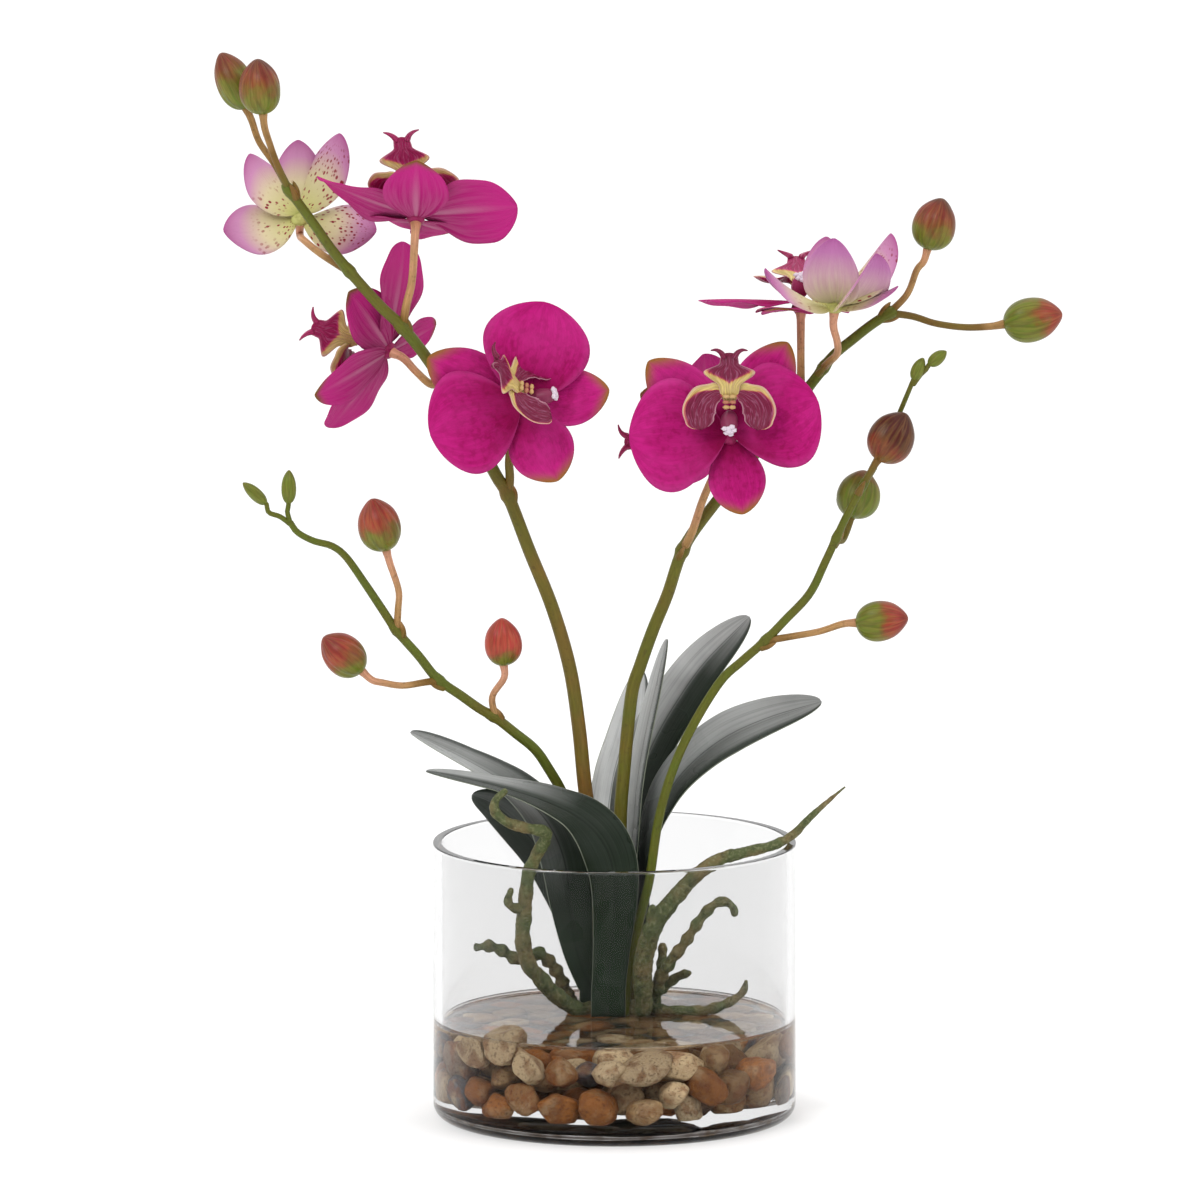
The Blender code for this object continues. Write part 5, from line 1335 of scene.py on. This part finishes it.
def lobe_into(bm, turned_to, stations, side, bend, cream, rows, columns):
    """A blade of the lip along its stations, cupped across; without a side it turns with its line."""
    points = [Vector(station[:3]) for station in stations]
    halves = [station[3] for station in stations]
    route = smooth_route(points, 0.5)
    shares = lengths_along(route)[0]
    marks_at = lengths_along(points)[0]
    centres, widths, ways = [], [], []
    for row in range(rows + 1):
        t = row / rows
        index = max(index for index, mark in enumerate(marks_at[:-1]) if mark <= t)
        part = (t - marks_at[index]) / (marks_at[index + 1] - marks_at[index])
        if halves[index + 1] == 0:
            widths.append(halves[index] * math.sqrt(max(0.0, 1.0 - part * part)))
        else:
            eased = part * part * (3.0 - 2.0 * part)
            widths.append(halves[index] * (1 - eased) + halves[index + 1] * eased)
        here = point_at(route, shares, t)
        ahead = point_at(route, shares, min(t + 0.02, 1.0)) - point_at(route, shares, max(t - 0.02, 0.0))
        centres.append(turned_to @ here)
        way = Vector(side) if side else ahead.cross(Vector((0, 0, 1))).normalized()
        ways.append(turned_to.to_3x3() @ way)
    grid = blade_grid(centres, widths, ways, columns, lambda place, t: bend * abs(place) ** 1.8)
    sheet_into(bm, grid, LIP_THICK, marks={"cream": cream, "white": 0.0})


def middle_cream(across, along):
    """Cream up to the waist and out to the teeth, with maroon running down between them."""
    edge = abs(2 * across - 1)
    return min(1.0, max(0.0, 1.0 - (along - 0.34 - 0.24 * edge) / 0.13))


def side_cream(across, along):
    """Cream along the outer rim, wide at the waist and thin towards the lobe's end."""
    return min(1.0, max(0.0, (2 * across - 0.95 - 0.80 * min(1.0, along / 0.55)) * 3.4, 1.0 - along / 0.10))


for name, (place, faces, up, lip_turn, tepals) in FLOWERS.items():
    bm = bmesh.new()
    faces, lip_turn = LIP_ROLLED.get(name, (faces, lip_turn))
    set_back = Matrix.Translation((0, LIP_SET_BACK.get(name, PLAIN_SET_BACK), 0))
    turned_to = facing(place, faces, up) @ Matrix.Rotation(math.radians(lip_turn + 90.0), 4, "Z") @ set_back
    column = Matrix.Translation(COLUMN_MIDDLE) @ Matrix.Rotation(math.radians(COLUMN_LEAN), 4, "X")
    knob_into(bm, turned_to @ column, COLUMN_HALF, 24, 18, marks={"cream": 0.12, "white": 0.0}, ripple=0.05)
    for lump in range(CAP_LUMPS):
        out = CAP_WIDE * math.sqrt(lump / CAP_LUMPS)
        turn = CAP_TURN * lump
        spot = Matrix.Translation((out * math.cos(turn) * 1.2, out * math.sin(turn),
                                   COLUMN_HALF[2] - 0.25 * out))
        knob_into(bm, turned_to @ column @ spot, (1.1, 0.9, 0.8), 12, 8, marks={"cream": 0.1, "white": 1.0},
                  ripple=0.15)
    for x, y, z, paleness in CALLUS:
        for way in (-1, 1):
            knob_into(bm, turned_to @ Matrix.Translation((way * x, y, z)), (1.2, 0.75, 0.8), 14, 8,
                      marks={"cream": paleness, "white": 0.0}, ripple=0.1)
    lobe_into(bm, turned_to, MIDDLE_LOBE, (1, 0, 0), 0.16, middle_cream, 56, 18)
    for way in (-1, 1):
        lobe = [(way * x, y, z, half) for x, y, z, half in SIDE_LOBE]
        lobe_into(bm, turned_to, lobe, None, 0.40,
                  side_cream if way > 0 else lambda across, along: side_cream(1 - across, along), 36, 16)
        tendril = [turned_to @ Vector((way * x, y, z)) for x, y, z in TENDRIL]
        tube_into(bm, smooth_route(tendril, 0.5), lambda share, run: blend(TENDRIL_RADII, share), 10)
    rosy_mark = point_mark(bm, "rosy")
    for vert in bm.verts:
        vert[rosy_mark] = 0.0 if name in DEEP_LIPS else 1.0
    piece = make_piece(name.replace("flower", "lip") + "_throat", bm, [lip_skin])
    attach(piece, "root")
    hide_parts(name.replace("flower", "lip"))


# Half-open blooms
# Younger flowers in paler silk: yellow-green at the foot, lilac at the tips, spotted red inside.
# They have the same hub, with every tepal gathered in one cup.
YOUNG_FRILL = 0.02

bloom_face, tree, shader = new_finish("bloom_face", {
    "Base Color": paint(222, 200, 190), "Roughness": 0.6, "Specular IOR Level": 0.25,
    "Sheen Weight": 0.1, "Sheen Roughness": 0.4})
across, along = sheet_places(tree)
outer = calculate(tree, "MULTIPLY", calculate(tree, "POWER", across, 3.0), 0.16)
reach = calculate(tree, "ADD", along, outer)
silk = colour_ramp(tree, reach, ((0.0, (144, 152, 70)), (0.22, (184, 180, 112)), (0.48, (200, 186, 148)),
                                 (0.70, (186, 126, 164)), (1.0, (154, 60, 124))))
places = add_node(tree, "SeparateXYZ", {0: add_node(tree, "UVMap").outputs["UV"]})
rows = add_node(tree, "CombineXYZ", {0: calculate(tree, "MULTIPLY", places.outputs[0], 15.0),
                                     1: calculate(tree, "MULTIPLY", places.outputs[1], 22.0)})
cells = add_node(tree, "TexVoronoi", {"Vector": rows.outputs[0], "Scale": 1.0, "Randomness": 0.75})
spotted = mark_of(tree, "spots")
so_far = calculate(tree, "SUBTRACT", along, calculate(tree, "MULTIPLY", spotted, 0.30))
dots = calculate(tree, "MULTIPLY", between(tree, cells.outputs["Distance"], 0.26, 0.42, 1.0, 0.0),
                 between(tree, so_far, 0.34, 0.56, 1.0, 0.0))
kept = calculate(tree, "MINIMUM", 1.0, calculate(
    tree, "ADD", spotted, patchy(tree, 120.0, 0.46, 0.58, 2.0)))
tree.links.new(lay_over(tree, dots, kept, silk, (130, 22, 44)), shader.inputs["Base Color"])
roughen(tree, shader, lined_by(tree, 20.0, 2.0, 0.0, 1.0), 0.35, 0.25)

bloom_back, tree, shader = new_finish("bloom_back", {
    "Base Color": paint(222, 196, 190), "Roughness": 0.6, "Specular IOR Level": 0.25,
    "Sheen Weight": 0.1, "Sheen Roughness": 0.4})
across, along = sheet_places(tree)
silk = colour_ramp(tree, along, ((0.0, (158, 164, 96)), (0.25, (188, 182, 136)), (0.50, (194, 162, 164)),
                                 (0.72, (174, 108, 158)), (1.0, (156, 62, 134))))
veined = lay_over(tree, lined_by(tree, 12.0, 1.4, 0.2, 1.0), 0.3, silk, (168, 98, 148))
tree.links.new(veined, shader.inputs["Base Color"])
roughen(tree, shader, lined_by(tree, 14.0, 1.6, 0.0, 1.0), 0.4, 0.25)

young_hub, tree, shader = new_finish("young_hub", {
    "Base Color": paint(170, 170, 100), "Roughness": 0.5, "Specular IOR Level": 0.2})
tree.links.new(mix_colour(tree, patchy(tree, 400.0, 0.4, 0.6, 3.0), (176, 176, 104), (150, 146, 78)),
               shader.inputs["Base Color"])

for name, (place, faces, up, tepals) in HALF_OPEN.items():
    bm = bmesh.new()
    turned_to = facing(place, faces, up)
    for spec in tepals:
        tepal_into(bm, turned_to, spec, YOUNG_FRILL, young=True)
    hub_into(bm, turned_to)
    piece = make_piece(name + "_petals", bm, [bloom_face, bloom_back, young_hub])
    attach(piece, "root")
    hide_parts(name)


# Floor, light and camera
# A plain white table top in a soft white room that is darker behind the camera.
# The camera looks slightly down, as in the photograph.
FLOOR_HALF = 40000.0
FLOOR_BELOW = 0.2

white_table, tree, shader = new_finish("white_table", {
    "Base Color": (0.93, 0.93, 0.93, 1.0), "Roughness": 0.85})
tree.links.new(lay_over(tree, patchy(tree, 3.0, 0.3, 0.7), 0.3, (243, 243, 243), (241, 241, 242)),
               shader.inputs["Base Color"])
bm = bmesh.new()
bm.faces.new([bm.verts.new((x * FLOOR_HALF, y * FLOOR_HALF, -FLOOR_BELOW))
              for x, y in ((-1, -1), (1, -1), (1, 1), (-1, 1))])
floor = make_piece("table_top", bm, [white_table])

room = bpy.data.worlds.new("white_room")
bpy.context.scene.world = room
room.use_nodes = True
sky = room.node_tree
direction = add_node(sky, "SeparateXYZ", {0: add_node(sky, "TexCoord").outputs["Generated"]})
behind = between(sky, direction.outputs[1], -0.75, 0.25, 0.50, 1.0)
overhead = between(sky, direction.outputs[2], 0.15, 0.9, 0.0, 0.55)
sky.nodes["Background"].inputs["Color"].default_value = (1.0, 1.0, 1.0, 1.0)
sky.links.new(calculate(sky, "ADD", behind, overhead), sky.nodes["Background"].inputs["Strength"])


def soft_light(name, place, aim, size, power):
    """A round lamp that looks at a point; place, aim and size are in metres and power in watts."""
    lamp = bpy.data.lights.new(name, "AREA")
    lamp.shape = "DISK"
    lamp.size = size
    lamp.energy = power
    lamp_object = bpy.data.objects.new(name, lamp)
    lamp_object.location = place
    lamp_object.rotation_euler = (Vector(aim) - Vector(place)).to_track_quat("-Z", "Y").to_euler()
    bpy.context.scene.collection.objects.link(lamp_object)


soft_light("key_light", (-0.9, -1.3, 1.5), (0, 0, 0.2), 0.9, 14.0)
soft_light("fill_light", (1.4, -0.9, 0.9), (0, 0, 0.2), 0.9, 5.0)

# The camera, in metres: what it looks at, how far away it stands and how wide its view is there
CAMERA_AIM = Vector((-0.00506, 0.0, 0.18292))
CAMERA_LIFT = math.radians(9.4)
CAMERA_AWAY = 8.0
VIEW_WIDTH = 0.4187
SENSOR_WIDTH = 36.0

lens = bpy.data.cameras.new("portrait")
lens.sensor_width = SENSOR_WIDTH
lens.lens = SENSOR_WIDTH * CAMERA_AWAY / VIEW_WIDTH
lens.clip_end = 200.0
camera = bpy.data.objects.new("portrait", lens)
camera.location = CAMERA_AIM + Vector((0, -math.cos(CAMERA_LIFT), math.sin(CAMERA_LIFT))) * CAMERA_AWAY
camera.rotation_euler = (math.radians(90) - CAMERA_LIFT, 0, 0)
bpy.context.scene.collection.objects.link(camera)
bpy.context.scene.camera = camera
bpy.context.scene.view_settings.view_transform = "Standard"
